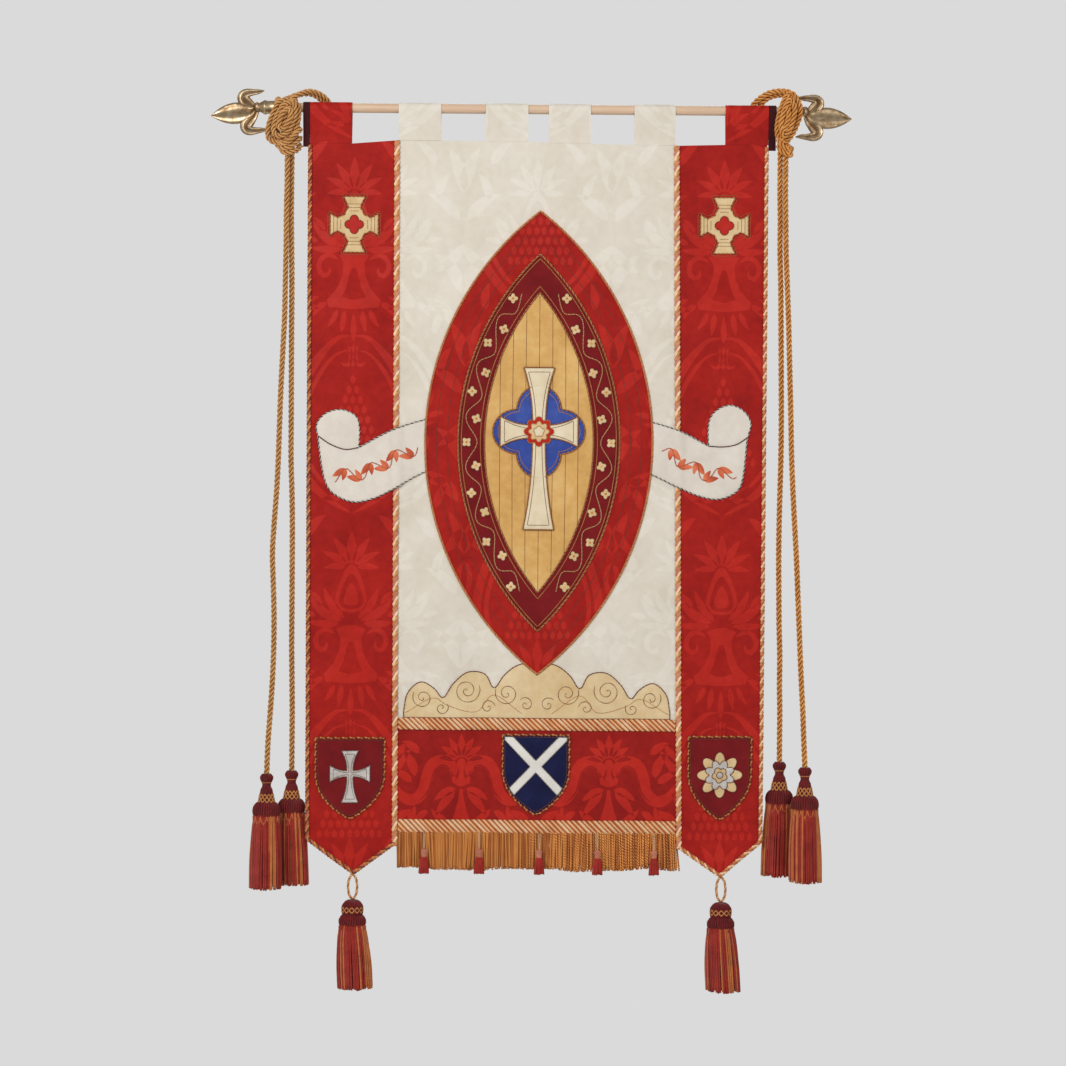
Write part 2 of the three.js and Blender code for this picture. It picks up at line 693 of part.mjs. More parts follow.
// Small tassels in front of the fringe
const smallTassel = {
  length: 50,
  segments: 6,
  profile: [[0, 0], [6.4, 4], [5.4, 10], [7.2, 15], [0, 15]],
  rings: [{ count: 5, sides: 3, start: 0, top: 3.6, bottom: 6.4, width: 4, depth: 3.4 }],
};
const smallSpots = [-219, -109, 11, 127, 240];
const threadHalf = 1.2;
smallSpots.forEach((x, k) => {
  const top = -1479;
  const y = clothAt(x, top) - clothThick / 2 - fringe.depth - 7.5;
  const form = { ...smallTassel, seed: 90 + k };
  const knot = { y: clothAt(x, wideBraid.lowerBottom) - clothThick / 2 - gap - 1.5, z: wideBraid.lowerBottom - gap };
  const thread = loft([knot, { y, z: top - 1.5 }].map((end) => [
    [x - threadHalf, end.y, end.z],
    [x + threadHalf, end.y, end.z],
    [x, end.y - 2 * threadHalf, end.z],
  ]));
  addPiece(`small_tassel_${k + 1}`, join([tassel(form).translate([x, y, top]), solid(thread)]), 'tassel');
});

// Shields on the lower edge
function shieldOutline(x, width, top, bottom) {
  const half = width / 2;
  const drop = top - bottom;
  const points = [[x - half, top], [x + half, top]];
  const steps = 7;
  for (let k = 0; k <= steps; k += 1) {
    const share = k / steps;
    points.push([x + half * Math.cos((share * Math.PI) / 2) ** 0.8, top - drop * (0.42 + 0.58 * share ** 0.85)]);
  }
  for (let k = steps - 1; k >= 0; k -= 1) {
    const share = k / steps;
    points.push([x - half * Math.cos((share * Math.PI) / 2) ** 0.8, top - drop * (0.42 + 0.58 * share ** 0.85)]);
  }
  return points;
}
const shields = [
  { name: 'shield_left', x: -368.5, width: 141, top: -1258, bottom: -1423, finish: 'velvet' },
  { name: 'shield_centre', x: 3, width: 136, top: -1249, bottom: -1412, finish: 'navy' },
  { name: 'shield_right', x: 370.5, width: 129, top: -1250, bottom: -1419, finish: 'velvet' },
];
for (const shield of shields) {
  const outline = prism(shieldOutline(shield.x, shield.width, shield.top, shield.bottom));
  addPiece(shield.name, cutFrom(outline, gap, skinThick), shield.finish);
}
const secondLayer = 2 * gap + skinThick;
const thirdLayer = secondLayer + gap + skinThick;

// White saltire, cut off at the shield's edge
const middleShield = shields[1];
const saltireArm = 15;
const saltireBox = { x: 63, up: middleShield.top - 2, down: -1402 };
const saltireArms = [-1, 1].map((side) => prism(strip(
  [
    [middleShield.x - side * (saltireBox.x + 8), saltireBox.up + 18],
    [middleShield.x + side * (saltireBox.x + 8), saltireBox.down - 18],
  ],
  saltireArm,
)));
const saltireEdge = prism(shieldOutline(
  middleShield.x, middleShield.width - 8, middleShield.top - 4, middleShield.bottom + 6,
));
addPiece('saltire', cutFrom(join(saltireArms).intersect(saltireEdge), secondLayer, skinThick), 'white');

// Cross with flared arms: reach to the left and right, up and down
function flaredCross(x, z, reach, waist, flare) {
  const points = [];
  const arms = [
    { way: [1, 0], length: reach.side },
    { way: [0, -1], length: reach.down },
    { way: [-1, 0], length: reach.side },
    { way: [0, 1], length: reach.up },
  ];
  for (const arm of arms) {
    const across = [-arm.way[1], arm.way[0]];
    const rows = [
      { along: waist, half: waist },
      { along: arm.length * 0.7, half: waist + (flare - waist) * 0.35 },
      { along: arm.length, half: flare },
    ];
    const put = (along, aside) => points.push([
      x + arm.way[0] * along + across[0] * aside,
      z + arm.way[1] * along + across[1] * aside,
    ]);
    rows.forEach((row, k) => (k > 0 ? put(row.along, row.half) : put(waist, waist)));
    rows.slice().reverse().forEach((row, k) => (k < 2 ? put(row.along, -row.half) : null));
  }
  return points;
}

// Ornaments on the side shields and at the head of the lappets
const shieldCross = flaredCross(shields[0].x, -1331, { side: 40, up: 46, down: 58 }, 6, 17);
addPiece('shield_left_cross', cutFrom(prism(shieldCross), secondLayer, skinThick), 'white');
function rosette(x, z, radius, lobes, depth, count) {
  const points = [];
  for (let k = 0; k < count; k += 1) {
    const turn = (2 * Math.PI * k) / count;
    const reach = radius * (1 - depth + depth * Math.abs(Math.cos((lobes * turn) / 2)));
    points.push([x + reach * Math.sin(turn), z + reach * Math.cos(turn)]);
  }
  return points;
}
const shieldRose = rosette(shields[2].x, -1328, 46, 8, 0.38, 32);
addPiece('shield_right_rosette', cutFrom(prism(shieldRose), secondLayer, skinThick), 'gold');

const headOrnaments = [
  { name: 'left', x: -368.5, z: -233 },
  { name: 'right', x: 371.5, z: -230 },
];
for (const spot of headOrnaments) {
  const arms = prism(flaredCross(spot.x, spot.z, { side: 48, up: 56, down: 56 }, 9, 22));
  const ring = prism(rosette(spot.x, spot.z, 38, 4, 0.3, 24));
  const outline = join([arms, ring]);
  addPiece(`lappet_ornament_${spot.name}`, cutFrom(outline, gap, skinThick), 'gold');
}

// Pointed oval in the middle of the panel, between two arcs that meet at top and foot
const oval = { x: 4, top: -205, bottom: -1128, half: 226 };
const ovalMiddle = (oval.top + oval.bottom) / 2;
const ovalRise = (oval.top - oval.bottom) / 2;
const ovalArc = (ovalRise ** 2 + oval.half ** 2) / (2 * oval.half);
function ovalOutline(inset, steps) {
  const radius = ovalArc - inset;
  const centre = ovalArc - oval.half;
  const reach = Math.acos(centre / radius);
  const points = [];
  for (const side of [1, -1]) {
    for (let k = 0; k < steps; k += 1) {
      const turn = reach - (2 * reach * k) / steps;
      points.push([
        oval.x + side * (radius * Math.cos(turn) - centre),
        ovalMiddle + side * radius * Math.sin(turn),
      ]);
    }
  }
  return points;
}
const velvetInset = 64;
const fieldInset = 116;
const ovalAround = prism(ovalOutline(-gap, 14));
const ovalBand = prism(ovalOutline(0, 14)).subtract(prism(ovalOutline(velvetInset, 12)));
addPiece('oval_band', cutFrom(ovalBand, gap, skinThick), 'red');
const ovalVelvet = prism(ovalOutline(velvetInset + gap, 12)).subtract(prism(ovalOutline(fieldInset, 10)));
addPiece('oval_border', cutFrom(ovalVelvet, gap, skinThick), 'velvet');
addPiece('oval_field', cutFrom(prism(ovalOutline(fieldInset + gap, 10)), gap, skinThick), 'ochre');

// Quatrefoil and cross on the field
const crossAt = { x: oval.x, z: ovalMiddle + 22 };
const foil = prism(rosette(crossAt.x, crossAt.z, 92, 4, 0.32, 32));
addPiece('field_quatrefoil', cutFrom(foil, secondLayer, skinThick), 'blue');
const bigCross = prism(flaredCross(crossAt.x, crossAt.z, { side: 78, up: 128, down: 196 }, 13, 31));
addPiece('field_cross', cutFrom(bigCross, thirdLayer, skinThick), 'ivory');

// Scrolled foot under the oval
const scrollTop = [
  [-266, -1204], [-258, -1168], [-232, -1146], [-204, -1160], [-188, -1178], [-168, -1150], [-138, -1126],
  [-104, -1130], [-86, -1158], [-66, -1132], [-40, -1112], [0, -1104],
];
const scrollFoot = wideBraid.upperTop + gap;
const scrollOutline = [
  ...scrollTop.map(([x, z]) => [oval.x + x, z]),
  ...scrollTop.slice(0, -1).reverse().map(([x, z]) => [oval.x - x, z]),
  [oval.x + 266, scrollFoot],
  [oval.x - 266, scrollFoot],
];
addPiece('foot_scrolls', cutFrom(prism(scrollOutline).subtract(ovalAround), gap, skinThick), 'gold');

// Ribbons across the seams: the outline, and the curled end that stands over it
const ribbons = [
  {
    name: 'left',
    seam: lines.seamLeft,
    outline: [
      [-150, -612], [-205, -618], [-290, -644], [-356, -679], [-355, -640], [-361, -618], [-378, -607],
      [-398, -604], [-424, -613], [-440, -633], [-438, -656], [-418, -757], [-395, -778], [-363, -788],
      [-325, -780], [-289, -763], [-218, -725], [-150, -712],
    ],
    curl: [
      [-356, -679], [-355, -640], [-361, -618], [-378, -607], [-398, -604], [-424, -613], [-440, -633],
      [-438, -656], [-412, -673], [-382, -683],
    ],
  },
  {
    name: 'right',
    seam: lines.seamRight,
    outline: [
      [150, -708], [205, -719], [288, -756], [325, -771], [361, -777], [390, -768], [407, -752],
      [421, -653], [427, -624], [412, -600], [387, -589], [364, -596], [347, -613], [342, -640],
      [343, -671], [282, -640], [186, -613], [150, -606],
    ],
    curl: [
      [343, -671], [342, -640], [347, -613], [364, -596], [387, -589], [412, -600], [427, -624],
      [421, -653], [399, -667], [372, -672],
    ],
  },
];
const bridge = braidThick + gap;
for (const ribbon of ribbons) {
  const whole = prism(ribbon.outline).subtract(ovalAround);
  const seamX = lineAt(ribbon.seam, -690);
  const across = (extra) => prism([
    [seamX - seamBraidWidth / 2 - extra - 1, -560],
    [seamX + seamBraidWidth / 2 + extra + 1, -560],
    [seamX + seamBraidWidth / 2 + extra + 1, -820],
    [seamX - seamBraidWidth / 2 - extra - 1, -820],
  ]);
  const flat = cutFrom(whole, gap, skinThick);
  const raised = cutFrom(whole.intersect(across(gap + skinThick)), gap, skinThick + bridge);
  const channel = cutFrom(across(gap), -0.5, gap + bridge + 0.5);
  const curled = cutFrom(prism(ribbon.curl), gap, 2 * skinThick);
  addPiece(`ribbon_${ribbon.name}`, join([flat, raised, curled]).subtract(channel), 'ivory');
}

// Knots on the pole: turns of rope, with the arch to the red tab and the stubs of the hanging ropes
const knotSides = 6;
const knots = [
  {
    name: 'left', floor: ropeStart.left, collars: [-522, -490],
    turns: [
      [[-486, -20, 12], [-508, -22, 8], [-523, -23, -14], [-530, -22, -40], [-528, -20, -62], [-514, -18, -74]],
      [[-520, -18, -70], [-504, -20, -76], [-488, -21, -68], [-478, -22, -50], [-475, -22, -26], [-479, -20, -2],
        [-492, -18, 10]],
      [[-484, -27, 8], [-500, -31, 0], [-513, -33, -18], [-519, -31, -42], [-513, -27, -60], [-503, -24, -68]],
      [[-517, -8, -72], [-508, -22, -82], [-494, -24, -86], [-482, -15, -82], [-483, -2, -80], [-496, 4, -80]],
      [[-502, -17, -70], [-502, -17, -85], [-502, -17, -100]],
      [[-494, -5, -64], [-494, -5, -82], [-494, -5, -100]],
    ],
    arch: [[-500, -20, 2], [-490, -16, 20], [-474, -8, 31], [-459, -3, 34], [-445, -1, 29], [-433, 0, 21.5],
      [-420, 0, 18.3]],
  },
  {
    name: 'right', floor: ropeStart.right, collars: [487, 507],
    turns: [
      [[486, -12, 40], [503, -18, 32], [517, -21, 16], [520, -22, -4], [512, -22, -26], [504, -21, -48],
        [501, -19, -66]],
      [[492, -15, 34], [494, -24, 12], [489, -29, -12], [479, -29, -34], [475, -26, -54], [481, -20, -78]],
      [[506, -30, 14], [505, -31, -10], [497, -31, -34], [489, -29, -56], [491, -24, -76]],
      [[476, -18, -58], [484, -27, -72], [497, -26, -80], [503, -12, -76], [497, 2, -72], [483, 4, -68]],
      [[495, -24, -70], [499, -26, -84], [500, -25, -94]],
      [[482, -5, -62], [482, -5, -88], [482, -5, -118]],
      [[492, -17, -66], [492, -17, -90], [492, -17, -118]],
    ],
    arch: [[495, -14, 36], [480, -8, 39], [462, -4, 36], [446, -1, 28], [433, 0, 20.5], [420, 0, 18.3]],
  },
];
const archRadius = 6;
const archCut = poleRadius + 2.5;
for (const knot of knots) {
  const turns = knot.turns.map((route) => tube(route, ropeRadius, knotSides, route.length - 1));
  const wraps = knot.collars.map((x, k) => {
    const wrap = new THREE.TorusGeometry(poleRadius + gap + ropeRadius, ropeRadius, 5, 9);
    wrap.rotateY(Math.PI / 2 + 0.12 * (k % 2 ? 1 : -1));
    wrap.translate(x, 0, 0);
    return solid(wrap);
  });
  const arch = tube(knot.arch, archRadius, ropeSides, 9);
  const round = new THREE.CylinderGeometry(archCut, archCut, 190, 24);
  round.rotateZ(Math.PI / 2);
  round.translate(Math.sign(knot.arch[0][0]) * 390, 0, 0);
  const clearPole = new THREE.CylinderGeometry(poleRadius + gap, poleRadius + gap, 1400, 20);
  clearPole.rotateZ(Math.PI / 2);
  const body = join([...turns, ...wraps, arch.subtract(solid(round))]).subtract(solid(clearPole));
  const side = Math.sign(knot.floor === ropeStart.left ? -1 : 1);
  const socketMouth = side < 0 ? poleLeft - gap + socket.floor - socket.mouth : poleRight + gap - socket.floor
    + socket.mouth;
  const clearSocket = new THREE.CylinderGeometry(socket.radius + gap, socket.radius + gap, 120, 16);
  clearSocket.rotateZ(Math.PI / 2);
  clearSocket.translate(socketMouth + side * (60 - gap), 0, 0);
  addPiece(`knot_${knot.name}`, largest(body.subtract(solid(clearSocket))), 'rope');
}
addPiece('finial_left', finialLeft, 'brass');
addPiece('finial_right', finialRight, 'brass');

export default banner;
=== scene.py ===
"""A church banner of red and ivory damask, hung by tabs from a wooden pole with brass finials.

Sizes are millimetres: X runs along the pole, the front faces -Y, +Z is up, and the origin is on the
pole's axis. Meshes are made in metres.
"""

import math

import bpy
import numpy as np
from mathutils import Matrix, Vector
from mathutils.geometry import delaunay_2d_cdt
from mathutils.kdtree import KDTree


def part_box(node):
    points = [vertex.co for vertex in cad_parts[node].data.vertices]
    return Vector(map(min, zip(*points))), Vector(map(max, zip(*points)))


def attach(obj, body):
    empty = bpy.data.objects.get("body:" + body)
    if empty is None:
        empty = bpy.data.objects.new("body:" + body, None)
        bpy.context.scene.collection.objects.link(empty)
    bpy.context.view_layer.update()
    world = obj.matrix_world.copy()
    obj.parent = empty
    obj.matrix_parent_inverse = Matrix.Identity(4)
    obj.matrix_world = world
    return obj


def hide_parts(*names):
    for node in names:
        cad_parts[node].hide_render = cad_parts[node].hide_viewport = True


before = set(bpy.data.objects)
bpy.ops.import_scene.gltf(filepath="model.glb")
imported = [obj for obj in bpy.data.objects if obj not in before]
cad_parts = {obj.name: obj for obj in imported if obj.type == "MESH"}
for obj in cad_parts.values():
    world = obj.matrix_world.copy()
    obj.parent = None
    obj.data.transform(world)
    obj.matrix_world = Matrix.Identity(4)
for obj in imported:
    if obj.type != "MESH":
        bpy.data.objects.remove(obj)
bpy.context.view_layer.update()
MM = 0.001
TAU = 2 * math.pi


def box_mm(node):
    """Lowest and highest corner of a CAD node, in millimetres."""
    low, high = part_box(node)
    return np.array(low) / MM, np.array(high) / MM


# Camera, at the middle of the picture and level with it, turned a little as the photograph is
PICTURE_WIDTH = 2132
PICTURE_CENTRE = (-6.3, -847.1)
CAMERA_DISTANCE = 6000
CAMERA_ROLL = 0.0079
SENSOR = 36

camera_data = bpy.data.cameras.new("camera")
camera_data.sensor_width = SENSOR
camera_data.lens = SENSOR * CAMERA_DISTANCE / PICTURE_WIDTH
camera_data.clip_end = 40
camera = bpy.data.objects.new("camera", camera_data)
bpy.context.scene.collection.objects.link(camera)
camera.matrix_world = (
    Matrix.Translation(Vector((PICTURE_CENTRE[0], -CAMERA_DISTANCE, PICTURE_CENTRE[1])) * MM)
    @ Matrix.Rotation(math.pi / 2, 4, "X")
    @ Matrix.Rotation(CAMERA_ROLL, 4, "Z")
)
bpy.context.scene.camera = camera


# Meshes: the edges sharper than these angles, in degrees, stay sharp
SHARP_BLADE = 38
SHARP_RIM = 40
SHARP_SHEET = 50
SHARP_APPLIED = 60
SHARP_CORD = 80
SHARP_STRAND = 90


class Shape:
    """A mesh that is added up: points, faces, a material number for each face, and flat places."""

    def __init__(self):
        self.points = []
        self.faces = []
        self.kinds = []
        self.flat = []
        self.count = 0

    def add(self, points, faces, kind=0, flat=None):
        faces = np.asarray(faces)
        self.points.append(np.asarray(points, float))
        self.faces.extend((faces + self.count).tolist())
        self.kinds.append(np.broadcast_to(np.asarray(kind), (len(faces),)))
        self.flat.append(np.zeros((faces.size, 2)) if flat is None else np.reshape(flat, (-1, 2)))
        self.count += len(points)
        return self

    def piece(self, name, materials, slot, node="", sharp=SHARP_CORD):
        """The Blender object. It rides on the banner and stands for a CAD node, by default its namesake."""
        mesh = bpy.data.meshes.new(name + "_fine")
        mesh.from_pydata((np.vstack(self.points) * MM).tolist(), [], self.faces)
        mesh.polygons.foreach_set("material_index", np.concatenate(self.kinds).astype(np.int32))
        layer = mesh.uv_layers.new(name="flat")
        layer.data.foreach_set("uv", np.vstack(self.flat).astype(np.float32).ravel())
        mesh.polygons.foreach_set("use_smooth", np.ones(len(self.faces), bool))
        mesh.set_sharp_from_angle(angle=math.radians(sharp))
        mesh.update()
        for each in materials:
            mesh.materials.append(each)
        made = bpy.data.objects.new(name + "_fine", mesh)
        bpy.context.scene.collection.objects.link(made)
        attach(made, "root")
        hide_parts(node or name)
        return made


def spline(points, step, closed=False):
    """Even steps along a smooth curve through the points."""
    points = np.asarray(points, float)
    if closed:
        points = np.vstack([points[-1:], points, points[:2]])
    else:
        points = np.vstack([2 * points[0] - points[1], points, 2 * points[-1] - points[-2]])
    runs = []
    for k in range(1, len(points) - 2):
        a, b, c, d = points[k - 1 : k + 3]
        count = max(2, int(np.linalg.norm(c - b) / step * 3) + 2)
        t = np.linspace(0, 1, count, endpoint=False)[:, None]
        spans = [max(1e-6, np.linalg.norm(q - p)) ** 0.5 for p, q in ((a, b), (b, c), (c, d))]
        knots = np.cumsum([0] + spans)
        at = knots[1] + t * (knots[2] - knots[1])

        def mix(p, q, t0, t1):
            return (p * (t1 - at) + q * (at - t0)) / (t1 - t0)

        ab = mix(a, b, knots[0], knots[1])
        bc = mix(b, c, knots[1], knots[2])
        cd = mix(c, d, knots[2], knots[3])
        early, late = mix(ab, bc, knots[0], knots[2]), mix(bc, cd, knots[1], knots[3])
        runs.append(mix(early, late, knots[1], knots[2]))
    fine = np.vstack(runs + [points[-2:-1]])
    return even_steps(fine, step, closed)


def even_steps(fine, step, closed=False):
    """The same line with points at even steps."""
    fine = np.asarray(fine, float)
    along = np.concatenate([[0], np.cumsum(np.linalg.norm(np.diff(fine, axis=0), axis=1))])
    count = max(2, int(round(along[-1] / step)) + 1)
    at = np.linspace(0, along[-1], count)
    even = np.stack([np.interp(at, along, fine[:, k]) for k in range(fine.shape[1])], axis=1)
    return even[:-1] if closed else even


def frames_along(path, closed=False):
    """Two directions across the path at each point, which turn as little as they can."""
    if closed:
        ways = np.roll(path, -1, axis=0) - np.roll(path, 1, axis=0)
    else:
        ways = np.gradient(path, axis=0)
    ways /= np.linalg.norm(ways, axis=1)[:, None]
    across = np.zeros_like(path)
    first = np.array([0.0, -1.0, 0.0])
    if abs(ways[0] @ first) > 0.9:
        first = np.array([1.0, 0.0, 0.0])
    for k, way in enumerate(ways):
        side = (first if k == 0 else across[k - 1]) @ (np.eye(3) - np.outer(way, way))
        across[k] = side / np.linalg.norm(side)
    return across, np.cross(ways, across)


def sideways(line):
    """Unit steps along a line in a plane, and the directions to their left."""
    way = np.gradient(line, axis=0)
    way /= np.linalg.norm(way, axis=1)[:, None]
    return way, np.stack([-way[:, 1], way[:, 0]], axis=1)


def skin(shape, rings, kinds=0, closed=False, unit=1.0, start=0.0):
    """A closed skin over rings of points. rings is (stations, sides, 3), and each ring turns left."""
    stations, sides = rings.shape[:2]
    rows = np.arange(stations if closed else stations - 1)
    k, j = np.meshgrid(rows, np.arange(sides), indexing="ij")
    here, after = k * sides, (k + 1) % stations * sides
    beside = (j + 1) % sides
    quads = np.stack([here + j, here + beside, after + beside, after + j], axis=-1)
    u0, u1 = j / sides, (j + 1) / sides
    v0, v1 = start + k * unit, start + (k + 1) * unit
    flat = np.stack([u0, v0, u1, v0, u1, v1, u0, v1], axis=-1).reshape(-1, 4, 2)
    kind = np.broadcast_to(np.asarray(kinds), (len(rows), sides)).ravel()
    shape.add(rings.reshape(-1, 3), quads.reshape(-1, 4), kind, flat)
    if not closed:
        base = shape.count - stations * sides
        caps = [list(range(sides))[::-1], [(stations - 1) * sides + s for s in range(sides)]]
        for cap in caps:
            shape.faces.append([base + c for c in cap])
            shape.kinds.append(np.array([kind[0]]))
            shape.flat.append(np.zeros((sides, 2)))
    return shape


def sweep(shape, path, section, kinds=0, closed=False, unit=1.0, start=0.0):
    """A skin along a path: section is (stations, sides, 2), along the two directions across it."""
    one, two = frames_along(path, closed)
    rings = path[:, None] + one[:, None] * section[:, :, :1] + two[:, None] * section[:, :, 1:]
    return skin(shape, rings, kinds, closed, unit, start)


def lobed(angles, lobes, reach, lobe):
    """Radius of a bundle of round plies at each angle: their centres lie at reach, lobe is their radius."""
    off = (angles + math.pi / lobes) % (TAU / lobes) - math.pi / lobes
    return reach * np.cos(off) + np.sqrt(np.maximum(lobe**2 - (reach * np.sin(off)) ** 2, 0))


PLY_OVERLAP = 1.02


def laid_cord(shape, path, radius, lobes=3, pitch=20.0, per_lobe=6, flat=(1, 1), kinds=(0,), closed=False,
              start=0.0, groove=None):
    """A cord of twisted plies along a path. flat squeezes it in the two directions across the path.

    kinds are the plies' materials in turn, and groove is the one between them.
    """
    sides = lobes * per_lobe
    step = np.linalg.norm(path[1] - path[0])
    turns = len(path) * step / pitch
    if closed:
        turns = max(1, round(turns))
    turn = TAU * turns * np.arange(len(path)) / len(path) + start
    angles = TAU * np.arange(sides) / sides
    share = radius / (1 + math.sin(math.pi / lobes) * PLY_OVERLAP)
    radii = lobed(angles, lobes, share, share * math.sin(math.pi / lobes) * PLY_OVERLAP)
    around = angles[None] + turn[:, None]
    section = radii[None, :, None] * np.stack([np.cos(around), np.sin(around)], axis=-1) * np.asarray(flat)
    tone = np.asarray(kinds)[((np.arange(sides) + per_lobe // 2) // per_lobe) % len(kinds)]
    if groove is not None:
        beside = np.arange(sides) % per_lobe
        tone = np.where((beside == per_lobe // 2) | (beside == (per_lobe - 1) // 2), groove, tone)
    return sweep(shape, path, section, tone[None], closed, step / pitch)


THREAD_SIDES = 5


def round_cord(shape, path, radius, sides=THREAD_SIDES, kind=0, pitch=12.0, start=0.0):
    """A plain round cord; radius may change along it, and its yarn turns once in a pitch."""
    angles = TAU * np.arange(sides) / sides
    ring = np.stack([np.cos(angles), np.sin(angles)], axis=-1)
    section = np.broadcast_to(np.asarray(radius, float).reshape(-1, 1, 1), (len(path), 1, 1)) * ring[None]
    return sweep(shape, path, section, kind, unit=np.linalg.norm(path[1] - path[0]) / pitch, start=start)


def uneven(k):
    """Numbers between 0 and 1 that look uneven and are the same each time."""
    value = np.sin(np.asarray(k) * 12.9898 + 4.1) * 43758.5453
    return value - np.floor(value)


# Materials

def linear(colour):
    """A colour in 0 to 255 as the renderer counts it."""
    return tuple((c / 255 / 12.92) if c < 10.3 else ((c / 255 + 0.055) / 1.055) ** 2.4 for c in colour)


def add_node(tree, kind, inputs=None, **settings):
    """A shader node: inputs are sockets to link or plain values, and settings its own properties."""
    made = tree.nodes.new("ShaderNode" + kind)
    for key, value in settings.items():
        setattr(made, key, value)
    for key, value in (inputs or {}).items():
        if isinstance(value, bpy.types.NodeSocket):
            tree.links.new(value, made.inputs[key])
        else:
            made.inputs[key].default_value = value
    return made


def plain_shader(name, roughness, **sockets):
    """A material and its tree and shader, with what is the same all over set on the shader."""
    made = bpy.data.materials.new(name)
    made.use_nodes = True
    tree = made.node_tree
    shader = tree.nodes["Principled BSDF"]
    shader.inputs["Roughness"].default_value = roughness
    for key, value in sockets.items():
        shader.inputs[key.replace("_", " ")].default_value = value
    return made, tree, shader


def tones(tree, factor, colours, spread=1.0):
    """A colour ramp over even stops, which fill the given share of it."""
    ramp = add_node(tree, "ValToRGB", {"Fac": factor})
    stops = ramp.color_ramp.elements
    while len(stops) < len(colours):
        stops.new(0.5)
    for k, colour in enumerate(colours):
        stops[k].position = 0.5 + spread * (k / max(1, len(colours) - 1) - 0.5)
        stops[k].color = (*linear(colour), 1)
    return ramp.outputs["Color"]


def noise(tree, place, scale, detail=3.0, roughness=0.5):
    return add_node(
        tree, "TexNoise", {"Vector": place, "Scale": scale, "Detail": detail, "Roughness": roughness}
    ).outputs["Fac"]


def stretched(tree, place, scale):
    return add_node(tree, "Mapping", {"Vector": place, "Scale": scale}).outputs["Vector"]


def add_math(tree, operation, a, b):
    return add_node(tree, "Math", {0: a, 1: b}, operation=operation).outputs[0]


def blend(tree, a, b, share):
    """Two values mixed, with the given share of the first."""
    parts = [add_math(tree, "MULTIPLY", value, weight) for value, weight in ((a, share), (b, 1 - share))]
    return add_math(tree, "ADD", *parts)


def finish(tree, shader, colour, height, strength, rise):
    """Colour and bump on the shader: rise is in metres."""
    bump = add_node(tree, "Bump", {"Strength": strength, "Distance": rise, "Height": height})
    tree.links.new(colour, shader.inputs["Base Color"])
    tree.links.new(bump.outputs["Normal"], shader.inputs["Normal"])


def woven(name, colours, roughness, thread=0.9):
    """Cloth: crossing threads a given number of millimetres apart, soft blotches and slubs."""
    made, tree, shader = plain_shader(name, roughness, Specular_IOR_Level=0.14)
    place = add_node(tree, "TexCoord").outputs["Object"]
    scale = TAU / 20 / (thread * MM)
    weave = []
    for direction in ("X", "Z"):
        inputs = {"Vector": place, "Scale": scale, "Distortion": 0.6, "Detail": 1.0}
        wave = add_node(tree, "TexWave", inputs, bands_direction=direction)
        weave.append(wave.outputs["Fac"])
    threads = add_math(tree, "MULTIPLY", *weave)
    slub = noise(tree, place, 60.0, 4.0, 0.6)
    blotch = noise(tree, place, 9.0, 3.0, 0.55)
    height = add_math(tree, "ADD", threads, add_math(tree, "MULTIPLY", slub, 0.8))
    finish(tree, shader, tones(tree, blend(tree, slub, blotch, 0.45), colours, 0.5), height, 0.5, 0.00012)
    return made


def velvet(name, colours, sheen_tint):
    """Short pile: dark, with a soft sheen and crushed patches."""
    tint = (*linear(sheen_tint), 1)
    made, tree, shader = plain_shader(
        name, 0.95, Sheen_Weight=0.55, Sheen_Roughness=0.35, Sheen_Tint=tint, Specular_IOR_Level=0.2
    )
    place = add_node(tree, "TexCoord").outputs["Object"]
    crush = noise(tree, place, 22.0, 4.0, 0.6)
    pile = noise(tree, place, 900.0, 2.0, 0.5)
    finish(tree, shader, tones(tree, crush, colours), pile, 0.5, 0.0003)
    return made


LINES_ROUND = TAU / 10


def yarn(name, colours, roughness, lines=16, slope=1.0, rise=0.0003, weight=0.4):
    """Thread wound into a ply: a number of lines round it that run aslant on the skin of the cord. The colour
    follows the same lines: darker where they sink, partly the yarn's own streaks and partly painted shade.
    """
    made, tree, shader = plain_shader(
        name, roughness, Sheen_Weight=0.08, Sheen_Roughness=0.4, Specular_IOR_Level=0.25
    )
    flat = add_node(tree, "UVMap", uv_map="flat").outputs["UV"]
    turned = stretched(tree, flat, (lines * LINES_ROUND, lines * LINES_ROUND * slope, 1))
    wave = add_node(tree, "TexWave", {"Vector": turned, "Scale": 1.0, "Distortion": 0.8, "Detail": 2.0},
                    bands_direction="DIAGONAL").outputs["Fac"]
    place = add_node(tree, "TexCoord").outputs["Object"]
    patch = noise(tree, place, 45.0, 3.0, 0.6)
    # Colour and bump both follow the wave, so the troughs of the lines carry painted shade
    finish(tree, shader, tones(tree, blend(tree, wave, patch, weight), colours, 0.7), wave, 0.6, rise)
    return made


def wood():
    """Pale wood with its grain along X."""
    made, tree, shader = plain_shader("pole_wood", 0.5, Coat_Weight=0.15, Coat_Roughness=0.3)
    place = add_node(tree, "TexCoord").outputs["Object"]
    grain = noise(tree, stretched(tree, place, (3, 60, 60)), 4.0, 6.0, 0.65)
    broad = noise(tree, stretched(tree, place, (2, 12, 12)), 3.0, 2.0, 0.5)
    colours = [(176, 136, 104), (204, 168, 138), (219, 190, 160), (230, 206, 180)]
    finish(tree, shader, tones(tree, blend(tree, grain, broad, 0.6), colours), grain, 0.3, 0.0002)
    return made


